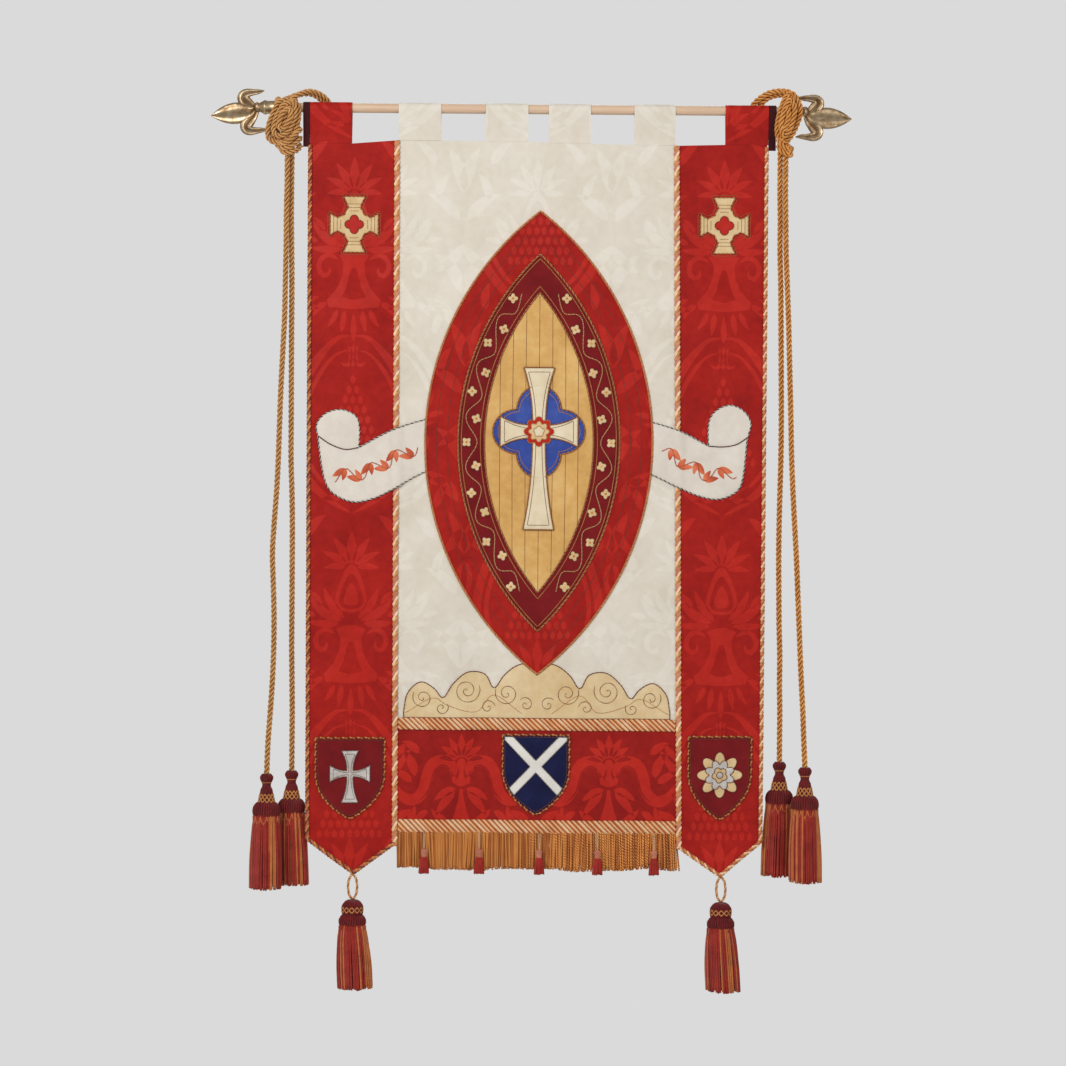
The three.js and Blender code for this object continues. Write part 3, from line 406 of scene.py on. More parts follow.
def brass():
    """Cast brass, duller and darker where it isn't rubbed."""
    made, tree, shader = plain_shader("cast_brass", 0.3, Metallic=1.0)
    place = add_node(tree, "TexCoord").outputs["Object"]
    wear = noise(tree, place, 60.0, 5.0, 0.65)
    fine = noise(tree, place, 420.0, 3.0, 0.6)
    limits = {"From Min": 0.3, "From Max": 0.7, "To Min": 0.5, "To Max": 0.3}
    rough = add_node(tree, "MapRange", {"Value": wear, **limits})
    tree.links.new(rough.outputs["Result"], shader.inputs["Roughness"])
    colours = [(78, 54, 38), (146, 118, 86), (194, 172, 140), (224, 210, 184)]
    finish(tree, shader, tones(tree, wear, colours, 0.7), fine, 0.35, 0.0004)
    return made


RED_FIGURE = woven("red_figure", [(154, 24, 17), (177, 32, 22), (193, 43, 30)], 0.5)
RED_GROUND = woven("red_ground", [(130, 16, 13), (158, 24, 18), (178, 34, 25)], 0.66)
IVORY_FIGURE = woven("ivory_figure", [(212, 203, 187), (222, 214, 200), (230, 223, 211)], 0.5)
IVORY_GROUND = woven("ivory_ground", [(207, 197, 180), (217, 208, 193), (226, 218, 204)], 0.62)
BAND_FIGURE = woven("band_figure", [(160, 26, 18), (180, 35, 24), (194, 46, 32)], 0.5)
BAND_GROUND = woven("band_ground", [(118, 15, 13), (147, 23, 18), (169, 33, 25)], 0.66)
# The lining behind the red tabs: its dark maroon is partly the cloth's own colour and partly painted shade,
# where it hangs behind the tab
SHADED_LINING = woven("lining", [(44, 14, 18), (62, 22, 26), (78, 30, 32)], 0.8, thread=1.2)
MAROON_VELVET = velvet("maroon_velvet", [(84, 12, 18), (114, 22, 26), (136, 30, 32)], (190, 90, 80))
NAVY_VELVET = velvet("navy_velvet", [(14, 16, 46), (24, 26, 62), (36, 40, 82)], (110, 120, 170))
BLUE_SILK = woven("blue_silk", [(38, 56, 130), (52, 74, 152), (72, 94, 170)], 0.45)
OCHRE_BROCADE = woven("ochre_brocade", [(190, 140, 74), (210, 164, 96), (226, 188, 124)], 0.45, thread=1.4)
GOLD_CLOTH = woven("gold_cloth", [(188, 154, 104), (212, 182, 134), (228, 206, 164)], 0.4, thread=1.3)
CREAM_GOLD = woven("cream_gold", [(206, 188, 152), (222, 206, 174), (234, 222, 196)], 0.42, thread=1.3)
MOUND_GOLD = woven("mound_gold", [(202, 170, 120), (216, 190, 146), (228, 208, 172)], 0.5, thread=1.3)
SILVER_CLOTH = woven("silver_cloth", [(156, 148, 140), (196, 190, 184), (226, 222, 218)], 0.35, thread=1.2)
WHITE_SILK = woven("white_silk", [(206, 202, 192), (220, 216, 208), (232, 229, 223)], 0.4)
IVORY_SILK = woven("ivory_silk", [(206, 196, 182), (218, 209, 196), (228, 220, 209)], 0.45)
ROPE_YARN = yarn("rope_yarn", [(170, 98, 38), (214, 142, 66), (240, 184, 110)], 0.5, lines=10, slope=-1.0)
ROPE_SHADE = yarn("rope_shade", [(84, 36, 12), (122, 60, 22), (152, 84, 36)], 0.6, lines=10)
ROPE_DULL = yarn("rope_dull", [(162, 108, 52), (200, 144, 82), (226, 176, 116)], 0.55, lines=10, slope=-1.0)
DULL_SHADE = yarn("dull_shade", [(88, 50, 22), (122, 74, 36), (150, 96, 52)], 0.6, lines=10)
GOLD_YARN = yarn("gold_yarn", [(154, 84, 34), (208, 138, 70), (232, 178, 112)], 0.45)
BRAID_YARN = yarn("braid_yarn", [(168, 84, 34), (222, 132, 66), (244, 172, 104)], 0.45)
CREAM_YARN = yarn("cream_yarn", [(216, 160, 112), (244, 206, 162), (252, 232, 200)], 0.45)
ROSE_YARN = yarn("rose_yarn", [(140, 62, 38), (192, 98, 62), (214, 130, 94)], 0.5)
RUST_YARN = yarn("rust_yarn", [(110, 38, 20), (150, 62, 32), (178, 88, 48)], 0.55)
BROWN_YARN = yarn("brown_yarn", [(92, 42, 30), (124, 60, 44), (150, 84, 62)], 0.6)
GREY_YARN = yarn("grey_yarn", [(96, 86, 80), (132, 120, 112), (160, 150, 142)], 0.5)
BLACK_YARN = yarn("black_yarn", [(24, 24, 26), (44, 42, 42), (66, 62, 60)], 0.6)
WHITE_YARN = yarn("white_yarn", [(196, 188, 176), (218, 212, 202), (232, 228, 220)], 0.5)
BULLION = {"lines": 2, "rise": 0.0007, "weight": 0.65}
FRINGE_YARN = yarn("fringe_yarn", [(140, 64, 18), (212, 124, 52), (244, 178, 98)], 0.5, **BULLION)
FRINGE_DEEP = yarn("fringe_deep", [(100, 40, 12), (172, 90, 36), (214, 138, 70)], 0.5, **BULLION)
ORANGE_YARN = yarn("orange_yarn", [(166, 62, 34), (200, 92, 56), (222, 124, 84)], 0.5)
TASSEL_RED = yarn("tassel_red", [(108, 20, 19), (160, 41, 31), (192, 66, 46)], 0.5)
TASSEL_GOLD = yarn("tassel_gold", [(150, 70, 30), (198, 110, 56), (224, 146, 86)], 0.5)
TASSEL_BRIGHT = yarn("tassel_bright", [(128, 20, 18), (172, 38, 28), (198, 60, 44)], 0.5)
COLLAR_RED = yarn("collar_red", [(72, 12, 18), (112, 24, 26), (142, 38, 34)], 0.6)
PINK_YARN = yarn("pink_yarn", [(160, 78, 60), (208, 128, 104), (232, 168, 140)], 0.5)
WOOD = wood()
BRASS = brass()


# Hanging ropes: the points are the route of each rope, from its knot down to its tassel
ROPE_RADIUS = 6
ROPES = {
    "left_outer": [
        (-502, -17, -100.3), (-502, -17, -150), (-503, -17, -210), (-503, -17, -280), (-504, -17, -350),
        (-505, -18, -420), (-508, -19, -490), (-511, -20, -560), (-513, -21, -630), (-515, -22, -705),
        (-518, -22, -770), (-522, -23, -830), (-525, -23, -890), (-523, -23, -950), (-521, -23, -1012),
        (-521, -24, -1080), (-523, -24, -1142), (-527, -24, -1210), (-531, -24, -1270),
        (-533, -24, -1330.7),
    ],
    "left_inner": [
        (-494, -5, -100.3), (-494, -5, -150), (-494, -5, -210), (-493, -5, -280), (-492, -4, -350),
        (-492, -3, -420), (-492, -1, -490), (-492, 2, -560), (-492, 6, -630), (-492, 10, -705),
        (-490, 13, -770), (-489, 16, -830), (-489, 19, -890), (-489, 21, -950), (-489, 22, -1012),
        (-489, 23, -1080), (-488, 24, -1142), (-487, 24, -1210), (-487, 24, -1270), (-487, 24, -1327.7),
    ],
    "right_inner": [
        (482, -5, -118.3), (482, -5, -165), (483, -5, -220), (483, -5, -281), (485, -4, -350),
        (486, -3, -420), (487, -1, -485), (488, 2, -550), (489, 6, -620), (489, 10, -697),
        (488, 13, -760), (487, 16, -830), (487, 19, -895), (488, 21, -960), (489, 22, -1025),
        (491, 23, -1091), (491, 24, -1150), (492, 24, -1200), (492, 24, -1250), (492, 24, -1302.7),
    ],
    "right_outer": [
        (492, -17, -118.3), (492, -17, -165), (493, -17, -220), (494, -17, -281), (497, -17, -350),
        (500, -18, -420), (502, -19, -485), (504, -20, -550), (506, -21, -620), (508, -22, -697),
        (511, -22, -760), (515, -23, -830), (519, -23, -895), (522, -23, -960), (525, -24, -1025),
        (528, -24, -1091), (531, -24, -1150), (534, -24, -1200), (536, -24, -1250), (539, -24, -1309.7),
    ],
}
ROPE_PITCH = 30
ROPE_PLIES = 3
ROPE_STEP = 2.4
ROPE_SIDES = 8
ROPE_YARNS = {"left": [ROPE_DULL, DULL_SHADE], "right": [ROPE_YARN, ROPE_SHADE]}


def laid_rope(shape, path, closed=False, start=0.0):
    """Rope of three plies, with the second material in its grooves."""
    laid_cord(shape, path, ROPE_RADIUS, ROPE_PLIES, ROPE_PITCH, ROPE_SIDES, closed=closed, start=start,
              groove=1)


rope_pieces = {}
rope_paths = {}
for rope, route in ROPES.items():
    path = spline(route, ROPE_STEP)
    shape = Shape()
    laid_rope(shape, path)
    yarns = ROPE_YARNS[rope.split("_")[0]]
    rope_pieces[rope] = shape.piece("rope_" + rope, yarns, "gold_rope")
    rope_paths[rope] = path


# The hanging cloth's form

HEAD_Z = -66
FOOT_Z = -1475
CLOTH_THICK = 2.0
SKIN_THICK = 1.0
GAP = 0.3
FOLDS = [
    {"x": -415, "drift": 0.01, "top": -150, "half": 72, "depth": 5.5},
    {"x": -335, "drift": -0.015, "top": -420, "half": 66, "depth": -4.5},
    {"x": -215, "drift": 0.03, "top": -90, "half": 84, "depth": 4.5},
    {"x": -95, "drift": -0.02, "top": -260, "half": 90, "depth": -5},
    {"x": 60, "drift": 0.03, "top": -120, "half": 95, "depth": 5.5},
    {"x": 190, "drift": -0.01, "top": -330, "half": 82, "depth": -4.5},
    {"x": 325, "drift": 0.015, "top": -200, "half": 70, "depth": 5},
    {"x": 412, "drift": -0.012, "top": -520, "half": 66, "depth": -5.5},
]
FOLD_GROWTH = 900
BELLY = 4
BELLY_RUN = 1500
RIPPLES = [
    {"across": 118, "down": 310, "start": 0.4, "height": 0.9},
    {"across": 74, "down": -230, "start": 2.1, "height": 0.6},
    {"across": 205, "down": -140, "start": 4.0, "height": 0.8},
]
RIPPLE_TOP = -90
RIPPLE_FOOT = -1490
RIPPLE_FADE = 60


def fold(x, z):
    """Y of the cloth's middle at each place."""
    x, z = np.asarray(x, float), np.asarray(z, float)
    y = -BELLY * np.sin(math.pi * np.clip((HEAD_Z - z) / BELLY_RUN, 0, 1))
    for row in FOLDS:
        across = (x - row["x"] - row["drift"] * (row["top"] - z)) / row["half"]
        grown = np.clip((row["top"] - z) / FOLD_GROWTH, 0, 1)
        y = y - row["depth"] * grown * (0.5 + 0.5 * np.cos(math.pi * np.clip(across, -1, 1)))
    kept = np.clip(np.minimum(RIPPLE_TOP - z, z - RIPPLE_FOOT) / RIPPLE_FADE, 0, 1)
    for row in RIPPLES:
        y = y + kept * row["height"] * np.sin(TAU * (x / row["across"] + z / row["down"]) + row["start"])
    return y


def on_cloth(flat, near):
    """Places on the cloth at a distance in front of its middle."""
    flat = np.asarray(flat, float)
    return np.stack([flat[:, 0], fold(flat[:, 0], flat[:, 1]) - near, flat[:, 1]], axis=1)


LINES = {
    "outer_left": (-459, -454),
    "seam_left": (-284, -278),
    "seam_right": (275, 290),
    "outer_right": (456, 454),
}
HEADING = [(-470, -70), (-374, -71), (-284, -64), (-60, -64), (145, -69), (275, -70.5), (372, -68),
           (470, -68)]


def line_at(line, z):
    top, bottom = LINES[line]
    return top + (bottom - top) * (z - HEAD_Z) / (FOOT_Z - HEAD_Z)


def heading_run(x0, x1):
    xs = [x0] + [x for x, _ in HEADING if x0 + 1 < x < x1 - 1] + [x1]
    return [(x, float(np.interp(x, *np.transpose(HEADING)))) for x in xs]


def rectangle(x0, z0, x1, z1):
    return [(x0, z0), (x1, z0), (x1, z1), (x0, z1)]


def turned_left(outline):
    """The outline with its points against the clock."""
    outline = np.asarray(outline, float)
    x, z = outline.T
    area = np.sum(x * np.roll(z, -1) - np.roll(x, -1) * z)
    return outline if area > 0 else outline[::-1]


def close_steps(outline, step):
    """A closed outline of straight runs with points no further apart than step."""
    outline = np.asarray(outline, float)
    runs = []
    for start, end in zip(outline, np.roll(outline, -1, axis=0)):
        count = max(1, int(math.ceil(np.linalg.norm(end - start) / step)))
        runs.append(start + (end - start) * np.arange(count)[:, None] / count)
    return np.vstack(runs)


def triangulate(outlines, figures, step, cut=(), within=(), union=False):
    """Triangles that fill the outlines, and whether each is in a figure.

    One outline inside another is a hole, or with union they are joined. cut takes places away, and
    within keeps only what lies in one of its outlines.
    """
    polygons = []
    groups = []
    for group, members in enumerate((outlines, figures, cut, within)):
        for each in members:
            polygons.append(turned_left(close_steps(each, step)))
            groups.append(group)
    joined = np.vstack(polygons)
    faces = []
    start = 0
    for polygon in polygons:
        faces.append(list(range(start, start + len(polygon))))
        start += len(polygon)
    tree = KDTree(len(joined))
    for k, point in enumerate(joined):
        tree.insert((point[0], point[1], 0), k)
    tree.balance()
    area = np.vstack(polygons[: len(outlines)])
    low, high = area.min(0), area.max(0)
    inner = []
    row_step = step * 0.87
    for row in range(int((high[1] - low[1]) / row_step) + 1):
        z = low[1] + row_step * (row + 0.5)
        shift = 0.25 if row % 2 else 0.75
        for column in range(int((high[0] - low[0]) / step) + 1):
            x = low[0] + step * (column + shift)
            if x < high[0] and z < high[1] and tree.find((x, z, 0))[2] > 0.5 * step:
                inner.append((x, z))
    places = [Vector(p) for p in joined] + [Vector(p) for p in inner]
    found, _, triangles, _, _, origin = delaunay_2d_cdt(places, [], faces, 0, 1e-4, True)
    kept = []
    inside = []
    for triangle, owners in zip(triangles, origin):
        held = [0, 0, 0, 0]
        for owner in owners:
            held[groups[owner]] += 1
        filled = held[0] > 0 if union else held[0] % 2 == 1
        if filled and not held[2] and (held[3] or not within):
            kept.append(triangle)
            inside.append(held[1] % 2)
    return np.array([tuple(p) for p in found]), np.array(kept), np.array(inside, int)


def border_loops(border):
    """Closed runs of points from the directed edges of a border."""
    onward = {}
    for a, b in border.tolist():
        onward.setdefault(a, []).append(b)
    loops = []
    while onward:
        here = next(iter(onward))
        loop = []
        while here in onward:
            loop.append(here)
            after = onward[here].pop()
            if not onward[here]:
                del onward[here]
            here = after
        loops.append(loop)
    return loops


def edge_distance(places, outlines):
    """How far each place is from the nearest outline."""
    nearest = np.full(len(places), 1e9)
    for outline in outlines:
        outline = np.asarray(outline, float)
        for a, b in zip(outline, np.roll(outline, -1, axis=0)):
            run = b - a
            share = np.clip(((places - a) @ run) / max(run @ run, 1e-9), 0, 1)
            nearest = np.minimum(nearest, np.linalg.norm(places - a - share[:, None] * run, axis=1))
    return nearest


RIM_SHARE = 0.25


def slab(shape, outlines, near, thick, step, figures=(), kinds=0, puff=0.0, place=on_cloth, **cuts):
    """A sheet with the outlines' form, lying near in front of the cloth's middle.

    kinds are the materials of its ground and of the figures in it, and puff rounds its edge. It gives
    back the closed lines of its edge.
    """
    flat, triangles, inside = triangulate(outlines, figures, step, **cuts)
    used = np.unique(triangles)
    renumber = np.zeros(len(flat), int)
    renumber[used] = np.arange(len(used))
    flat, triangles = flat[used], renumber[triangles]
    edges = np.vstack([triangles[:, [0, 1]], triangles[:, [1, 2]], triangles[:, [2, 0]]])
    one_way = {tuple(e) for e in edges.tolist()}
    border = np.array([e for e in one_way if (e[1], e[0]) not in one_way])
    border = border[np.lexsort((border[:, 1], border[:, 0]))]
    loops = [flat[loop] for loop in border_loops(border)]
    front_depth = np.full(len(flat), near + thick)
    if puff:
        share = np.clip(edge_distance(flat, loops) / puff, 0, 1)
        front_depth = near + thick * (RIM_SHARE + (1 - RIM_SHARE) * np.sqrt(1 - (1 - share) ** 2))
    front = place(flat, front_depth)
    behind = place(flat, np.full(len(flat), near))
    count = len(flat)
    kinds = np.broadcast_to(kinds, 2)
    back_kind = kinds[1 - inside]
    edge_kind = np.full(len(border), kinds[0])
    flipped = triangles[:, ::-1]
    quads = np.stack([border[:, 1], border[:, 0], border[:, 0] + count, border[:, 1] + count], axis=1)
    shape.add(np.vstack([front, behind]), triangles, kinds[inside], flat[triangles] * MM)
    base = shape.count - 2 * count
    for faces, kind in ((flipped + count, back_kind), (quads, edge_kind)):
        shape.faces.extend((faces + base).tolist())
        shape.kinds.append(kind)
        shape.flat.append((flat[faces % count] * MM).reshape(-1, 2))
    return loops


# Damask: one repeat of the woven figure, drawn about its middle line with v down from the repeat's top

REPEAT = (295, 748)
SIDE_REPEATS = 3
DOWN_REPEATS = 4
SCALE_ROWS = 9
SCALE_PITCH = (15, 20)
SCALE_TOP = 462


def leaf(u, v, length, width, angle, bend=0.0):
    """A leaf from its foot at u, v. angle is clockwise from straight up, and it turns by bend on its way."""
    t = np.linspace(0, 1, 8)
    heading = np.radians(angle + bend * t)
    run = length / (len(t) - 1)
    right, up = [np.concatenate([[0], np.cumsum(f(heading[:-1]))]) * run for f in (np.sin, np.cos)]
    line = np.stack([u + right, v - up], axis=1)
    half = width / 2 * np.sin(math.pi * t**0.75) ** 0.8
    side = np.stack([np.cos(heading), np.sin(heading)], axis=1) * half[:, None]
    return np.vstack([line + side, (line - side)[-2:0:-1]])


def band(points, width):
    """A ribbon along a smooth line, with pointed ends."""
    line = spline(points, 9)
    t = np.linspace(0, 1, len(line))
    half = width / 2 * np.minimum(1, 5 * np.minimum(t, 1 - t)) ** 0.6
    side = sideways(line)[1] * half[:, None]
    return np.vstack([line + side, (line - side)[-2:0:-1]])


def bud(v, length, width, share=1.0):
    """A pomegranate on the middle line: round below, pointed above."""
    turn = np.linspace(0, TAU, 22, endpoint=False)
    u = width / 2 * share * np.sin(turn) * (1 - 0.28 * np.cos(turn))
    return np.stack([u, v - length / 2 * share * (np.cos(turn) + 0.16 * np.cos(2 * turn))], axis=1)


def turned_pot(rows):
    """A symmetrical outline from rows of half width and v."""
    right = np.array(rows, float)
    left = right[::-1] * (-1, 1)
    return np.vstack([right, left])


SCALE = [(0, 0), (5.6, 7), (4, 15), (0, 17.5), (-4, 15), (-5.6, 7)]


def damask_repeat():
    """Outlines of one repeat; where two lie over each other the figure turns back into ground."""
    middle = [bud(148, 96, 62), bud(152, 96, 62, 0.74), bud(156, 96, 62, 0.46)]
    middle.append(leaf(0, 92, 66, 20, 0))
    middle.append(turned_pot([(8, 214), (30, 222), (21, 238), (22, 262), (34, 290), (54, 312), (50, 326),
                              (12, 330)]))
    middle.append(turned_pot([(4, 248), (9, 262), (15, 288), (24, 306), (4, 312)]))
    middle += [leaf(0, 394, 56, 12, 0), leaf(0, 446, 46, 18, 0), leaf(0, 712, 74, 22, 0)]
    sides = [
        leaf(4, 92, 62, 17, 26, 12), leaf(8, 94, 56, 15, 52, 22), leaf(12, 98, 44, 13, 80, 30),
        leaf(14, 200, 74, 17, 48, -34), leaf(18, 204, 88, 19, 76, -58), leaf(24, 210, 64, 15, 96, -20),
        leaf(60, 176, 38, 12, 20, 40), leaf(72, 196, 34, 12, 64, 30),
        band([(30, 232), (50, 222), (66, 232), (70, 250), (60, 264), (48, 258), (50, 246)], 10),
        leaf(54, 318, 40, 13, 112, 60), leaf(18, 334, 46, 12, 174, -6), leaf(32, 332, 40, 11, 160, -24),
        band([(2, 384), (26, 386), (54, 410), (84, 452), (110, 512), (122, 572), (112, 632), (78, 684),
              (34, 720), (2, 738)], 17),
        band([(8, 412), (32, 420), (58, 448), (82, 492), (98, 542), (102, 590), (88, 636), (58, 676),
              (22, 704)], 9),
        band([(10, 402), (2, 428), (14, 444), (26, 436)], 7),
        leaf(6, 704, 62, 17, 24, 14), leaf(12, 706, 52, 15, 50, 24), leaf(20, 710, 40, 12, 78, 30),
        leaf(147, 96, 96, 26, -6, -30), leaf(140, 150, 84, 24, -34, -40), leaf(147, 300, 104, 26, -14, -50),
        leaf(134, 366, 92, 24, -28, -44), leaf(147, 470, 92, 24, -10, -24),
        leaf(147, 690, 90, 24, -16, -40),
        leaf(147, 200, 80, 22, -150, 36), leaf(140, 420, 64, 20, -156, 30),
        leaf(120, 330, 54, 18, -70, -50),
        band([(147, 560), (136, 520), (142, 492), (147, 486)], 10), leaf(90, 380, 60, 18, 8, 40),
        leaf(96, 110, 58, 18, 4, 46), leaf(92, 40, 62, 20, -24, -40), leaf(108, 730, 56, 18, 10, -40),
    ]
    scales = []
    for row in range(SCALE_ROWS):
        half_row = 1 + row // 2
        for k in range(-half_row, half_row + 1):
            u = SCALE_PITCH[0] * (k + 0.5 * (row % 2))
            v = SCALE_TOP + SCALE_PITCH[1] * row
            if abs(u) < 12 + 7.5 * row and abs(u) < 74:
                scales.append(np.array(SCALE) + (u, v))
    mirrored = [each * (-1, 1) for each in sides]
    return middle + sides + mirrored + scales


def band_repeat():
    """Outlines of the bottom band's own part of the figure: a palmette on a calyx between scrolled arms."""
    middle = [
        leaf(0, 54, 48, 17, 0),
        turned_pot([(4, 56), (9, 64), (6, 76), (9, 88), (19, 94), (17, 105), (5, 111)]),
        turned_pot([(3, 117), (6, 140), (12, 162), (21, 190)]),
    ]
    sides = [
        leaf(3, 54, 46, 15, 24, 12), leaf(6, 55, 42, 14, 48, 20), leaf(9, 57, 36, 13, 76, 28),
        band([(8, 98), (13, 76), (32, 61), (55, 65), (68, 90), (75, 120), (93, 139), (117, 133),
              (134, 106)], 23),
        band([(17, 92), (24, 76), (36, 69), (50, 75), (59, 98), (67, 124), (86, 144)], 3),
        leaf(10, 116, 50, 16, 104, 34), leaf(12, 122, 62, 17, 132, 22), leaf(26, 184, 44, 15, 62, -26),
        leaf(84, 46, 44, 16, 38, 44), leaf(92, 92, 58, 19, 8, 40), leaf(98, 104, 46, 16, 46, 30),
        leaf(138, 92, 66, 20, -22, -30), leaf(142, 66, 52, 18, -44, 20), leaf(66, 160, 40, 14, 120, 40),
        leaf(136, 184, 48, 17, -48, -24), leaf(108, 190, 44, 15, -34, 30), leaf(147, 160, 44, 15, -20, -20),
    ]
    return middle + sides + [each * (-1, 1) for each in sides]


DAMASK = damask_repeat()
BAND_DAMASK = band_repeat()


def damask(outline, centre, top, repeat=DAMASK):
    """The repeats' outlines that reach into an outline. One has its middle line at centre, its top at top."""
    low, high = np.min(outline, axis=0), np.max(outline, axis=0)
    found = []
    for i in range(-SIDE_REPEATS, SIDE_REPEATS + 1):
        for j in range(-1, DOWN_REPEATS):
            for each in repeat:
                x = centre + i * REPEAT[0] + each[:, 0]
                z = top - j * REPEAT[1] - each[:, 1]
                if x.max() > low[0] and x.min() < high[0] and z.max() > low[1] and z.min() < high[1]:
                    found.append(np.stack([x, z], axis=1))
    return found


# The four cloths. figure is the x of the damask's middle line

RED_DAMASK = [RED_GROUND, RED_FIGURE]
IVORY_DAMASK = [IVORY_GROUND, IVORY_FIGURE]
LAPPETS = {
    "left": {"side": -1, "tip": -360, "outer": "outer_left", "inner": "seam_left", "inner_z": -1470,
             "figure": -368.5},
    "right": {"side": 1, "tip": 373, "outer": "outer_right", "inner": "seam_right", "inner_z": -1474,
              "figure": 371.5},
}
PANEL_FIGURE = -2
BAND_FIGURE_AT = (-146, -1243)
TIP_Z = -1529
SHOULDER_Z = -1460
PANEL_BOTTOM = -1230
BAND_BOTTOM = -1434
CLOTH_STEP = 9.0
DAMASK_TOP = -72


def cloth(node, outline, figures, materials, slot):
    """A sheet of damask with its figures inlaid."""
    shape = Shape()
    slab(shape, [outline], -CLOTH_THICK / 2, CLOTH_THICK, CLOTH_STEP, figures, kinds=(0, 1))
    shape.piece(node, materials, slot, sharp=SHARP_SHEET)


def by_line(line, z, side):
    """A corner at a height, half a gap to one side of a seam."""
    return line_at(line, z) + side * GAP / 2, z


for name, lappet in LAPPETS.items():
    side = lappet["side"]
    seam_top = LINES[lappet["inner"]][0] + side * GAP / 2
    outer_top = LINES[lappet["outer"]][0]
    top = heading_run(min(seam_top, outer_top), max(seam_top, outer_top))
    foot = [
        by_line(lappet["inner"], lappet["inner_z"], side), (lappet["tip"], TIP_Z),
        (line_at(lappet["outer"], SHOULDER_Z), SHOULDER_Z),
    ]
    outline = top + (foot if side < 0 else foot[::-1])
    figures = damask(outline, lappet["figure"], DAMASK_TOP)
    cloth("lappet_" + name, outline, figures, RED_DAMASK, "red_damask")

outline = heading_run(LINES["seam_left"][0] + GAP / 2, LINES["seam_right"][0] - GAP / 2)
outline += [by_line("seam_right", PANEL_BOTTOM, -1), by_line("seam_left", PANEL_BOTTOM, 1)]
cloth("centre_panel", outline, damask(outline, PANEL_FIGURE, DAMASK_TOP), IVORY_DAMASK, "ivory_damask")

band_top = PANEL_BOTTOM - GAP
outline = [by_line("seam_left", band_top, 1), by_line("seam_right", band_top, -1),
           by_line("seam_right", BAND_BOTTOM, -1), by_line("seam_left", BAND_BOTTOM, 1)]
figures = damask(outline, *BAND_FIGURE_AT, BAND_DAMASK)
cloth("bottom_band", outline, figures, [BAND_GROUND, BAND_FIGURE], "red_damask")


# Tabs: loops of cloth over the pole, laid out by the way along the loop

POLE_RADIUS = 9.5
TAB_INNER = POLE_RADIUS + 0.6
TAB_THICK = 1.5
TAB_PLAY = 0.05
TAB_STEP = 5.0
TAB_MEET = -56
TAB_HALF_OPEN = 0.05
TAB_ARC_POINTS = 40


def tab_line(foot):
    """The inner face of a loop in y and z, from the front leg's foot over the pole to the back leg's."""
    lean = math.acos(TAB_INNER / -TAB_MEET)
    over = np.linspace(math.pi + math.pi / 2 - lean, -(math.pi / 2 - lean), TAB_ARC_POINTS)
    arc = TAB_INNER * np.stack([np.cos(over), np.sin(over)], axis=1)
    legs = [(-TAB_HALF_OPEN, foot), (-TAB_HALF_OPEN, TAB_MEET)]
    line = np.vstack([legs, arc, [(-y, z) for y, z in legs[::-1]]])
    return even_steps(line, 1.0)


def tab_place(foot):
    """Places on a loop: the first number is x and the second the way along it."""
    line = tab_line(foot)
    out = sideways(line)[1]
    along = np.concatenate([[0], np.cumsum(np.linalg.norm(np.diff(line, axis=0), axis=1))])

    def place(flat, depth):
        flat = np.asarray(flat, float)
        at = [np.interp(flat[:, 1], along, column) for column in (*line.T, *out.T)]
        return np.stack([flat[:, 0], at[0] + at[2] * depth, at[1] + at[3] * depth], axis=1)

    return place, along[-1]


def tab(node, materials, slot, centre=None):
    """A loop of cloth; the cloth's damask goes on over it from its middle line at centre."""
    low, high = box_mm(node)
    place, length = tab_place(low[2])
    outline = rectangle(low[0], 0, high[0], length)
    figures = [] if centre is None else damask(outline, centre, DAMASK_TOP - low[2])
    shape = Shape()
    thick = TAB_THICK - 2 * TAB_PLAY
    slab(shape, [outline], TAB_PLAY, thick, TAB_STEP, figures, kinds=(0, 1), place=place)
    shape.piece(node, materials, slot, sharp=SHARP_SHEET)


for k in range(1, 5):
    tab("tab_white_%d" % k, IVORY_DAMASK, "ivory_damask", PANEL_FIGURE)
for name, lappet in LAPPETS.items():
    tab("tab_red_" + name, RED_DAMASK, "red_damask", lappet["figure"])
# Linings behind the red tabs, their dark colour partly painted shade
for name in LAPPETS:
    tab("tab_lining_" + name, [SHADED_LINING], "dark_lining")


# Braids and cords sewn to the cloth

def rounded(route, radius, step):
    """An open line of straight runs with its corners rounded."""
    route = np.asarray(route, float)
    points = [route[0]]
    for a, b, c in zip(route, route[1:], route[2:]):
        back = (a - b) / np.linalg.norm(a - b)
        on = (c - b) / np.linalg.norm(c - b)
        for t in np.linspace(0, 1, 7):
            points.append(b + back * radius * (1 - t) ** 2 + on * radius * t**2)
    points.append(route[-1])
    return even_steps(points, step)


SEAM_CORD = {"radius": 6.25, "pitch": 30, "per_lobe": 4, "flat": (0.42, 1), "kinds": (0, 1, 2)}
EDGE_CORD = {"radius": 4.6, "pitch": 21, "per_lobe": 4, "flat": (0.6, 1), "kinds": (0, 1, 2)}
SEAM_TONE = [GOLD_YARN, CREAM_YARN, PINK_YARN]
EDGE_TONE = {"left": [GOLD_YARN, ROSE_YARN, BROWN_YARN], "right": [GOLD_YARN, CREAM_YARN, ROSE_YARN]}

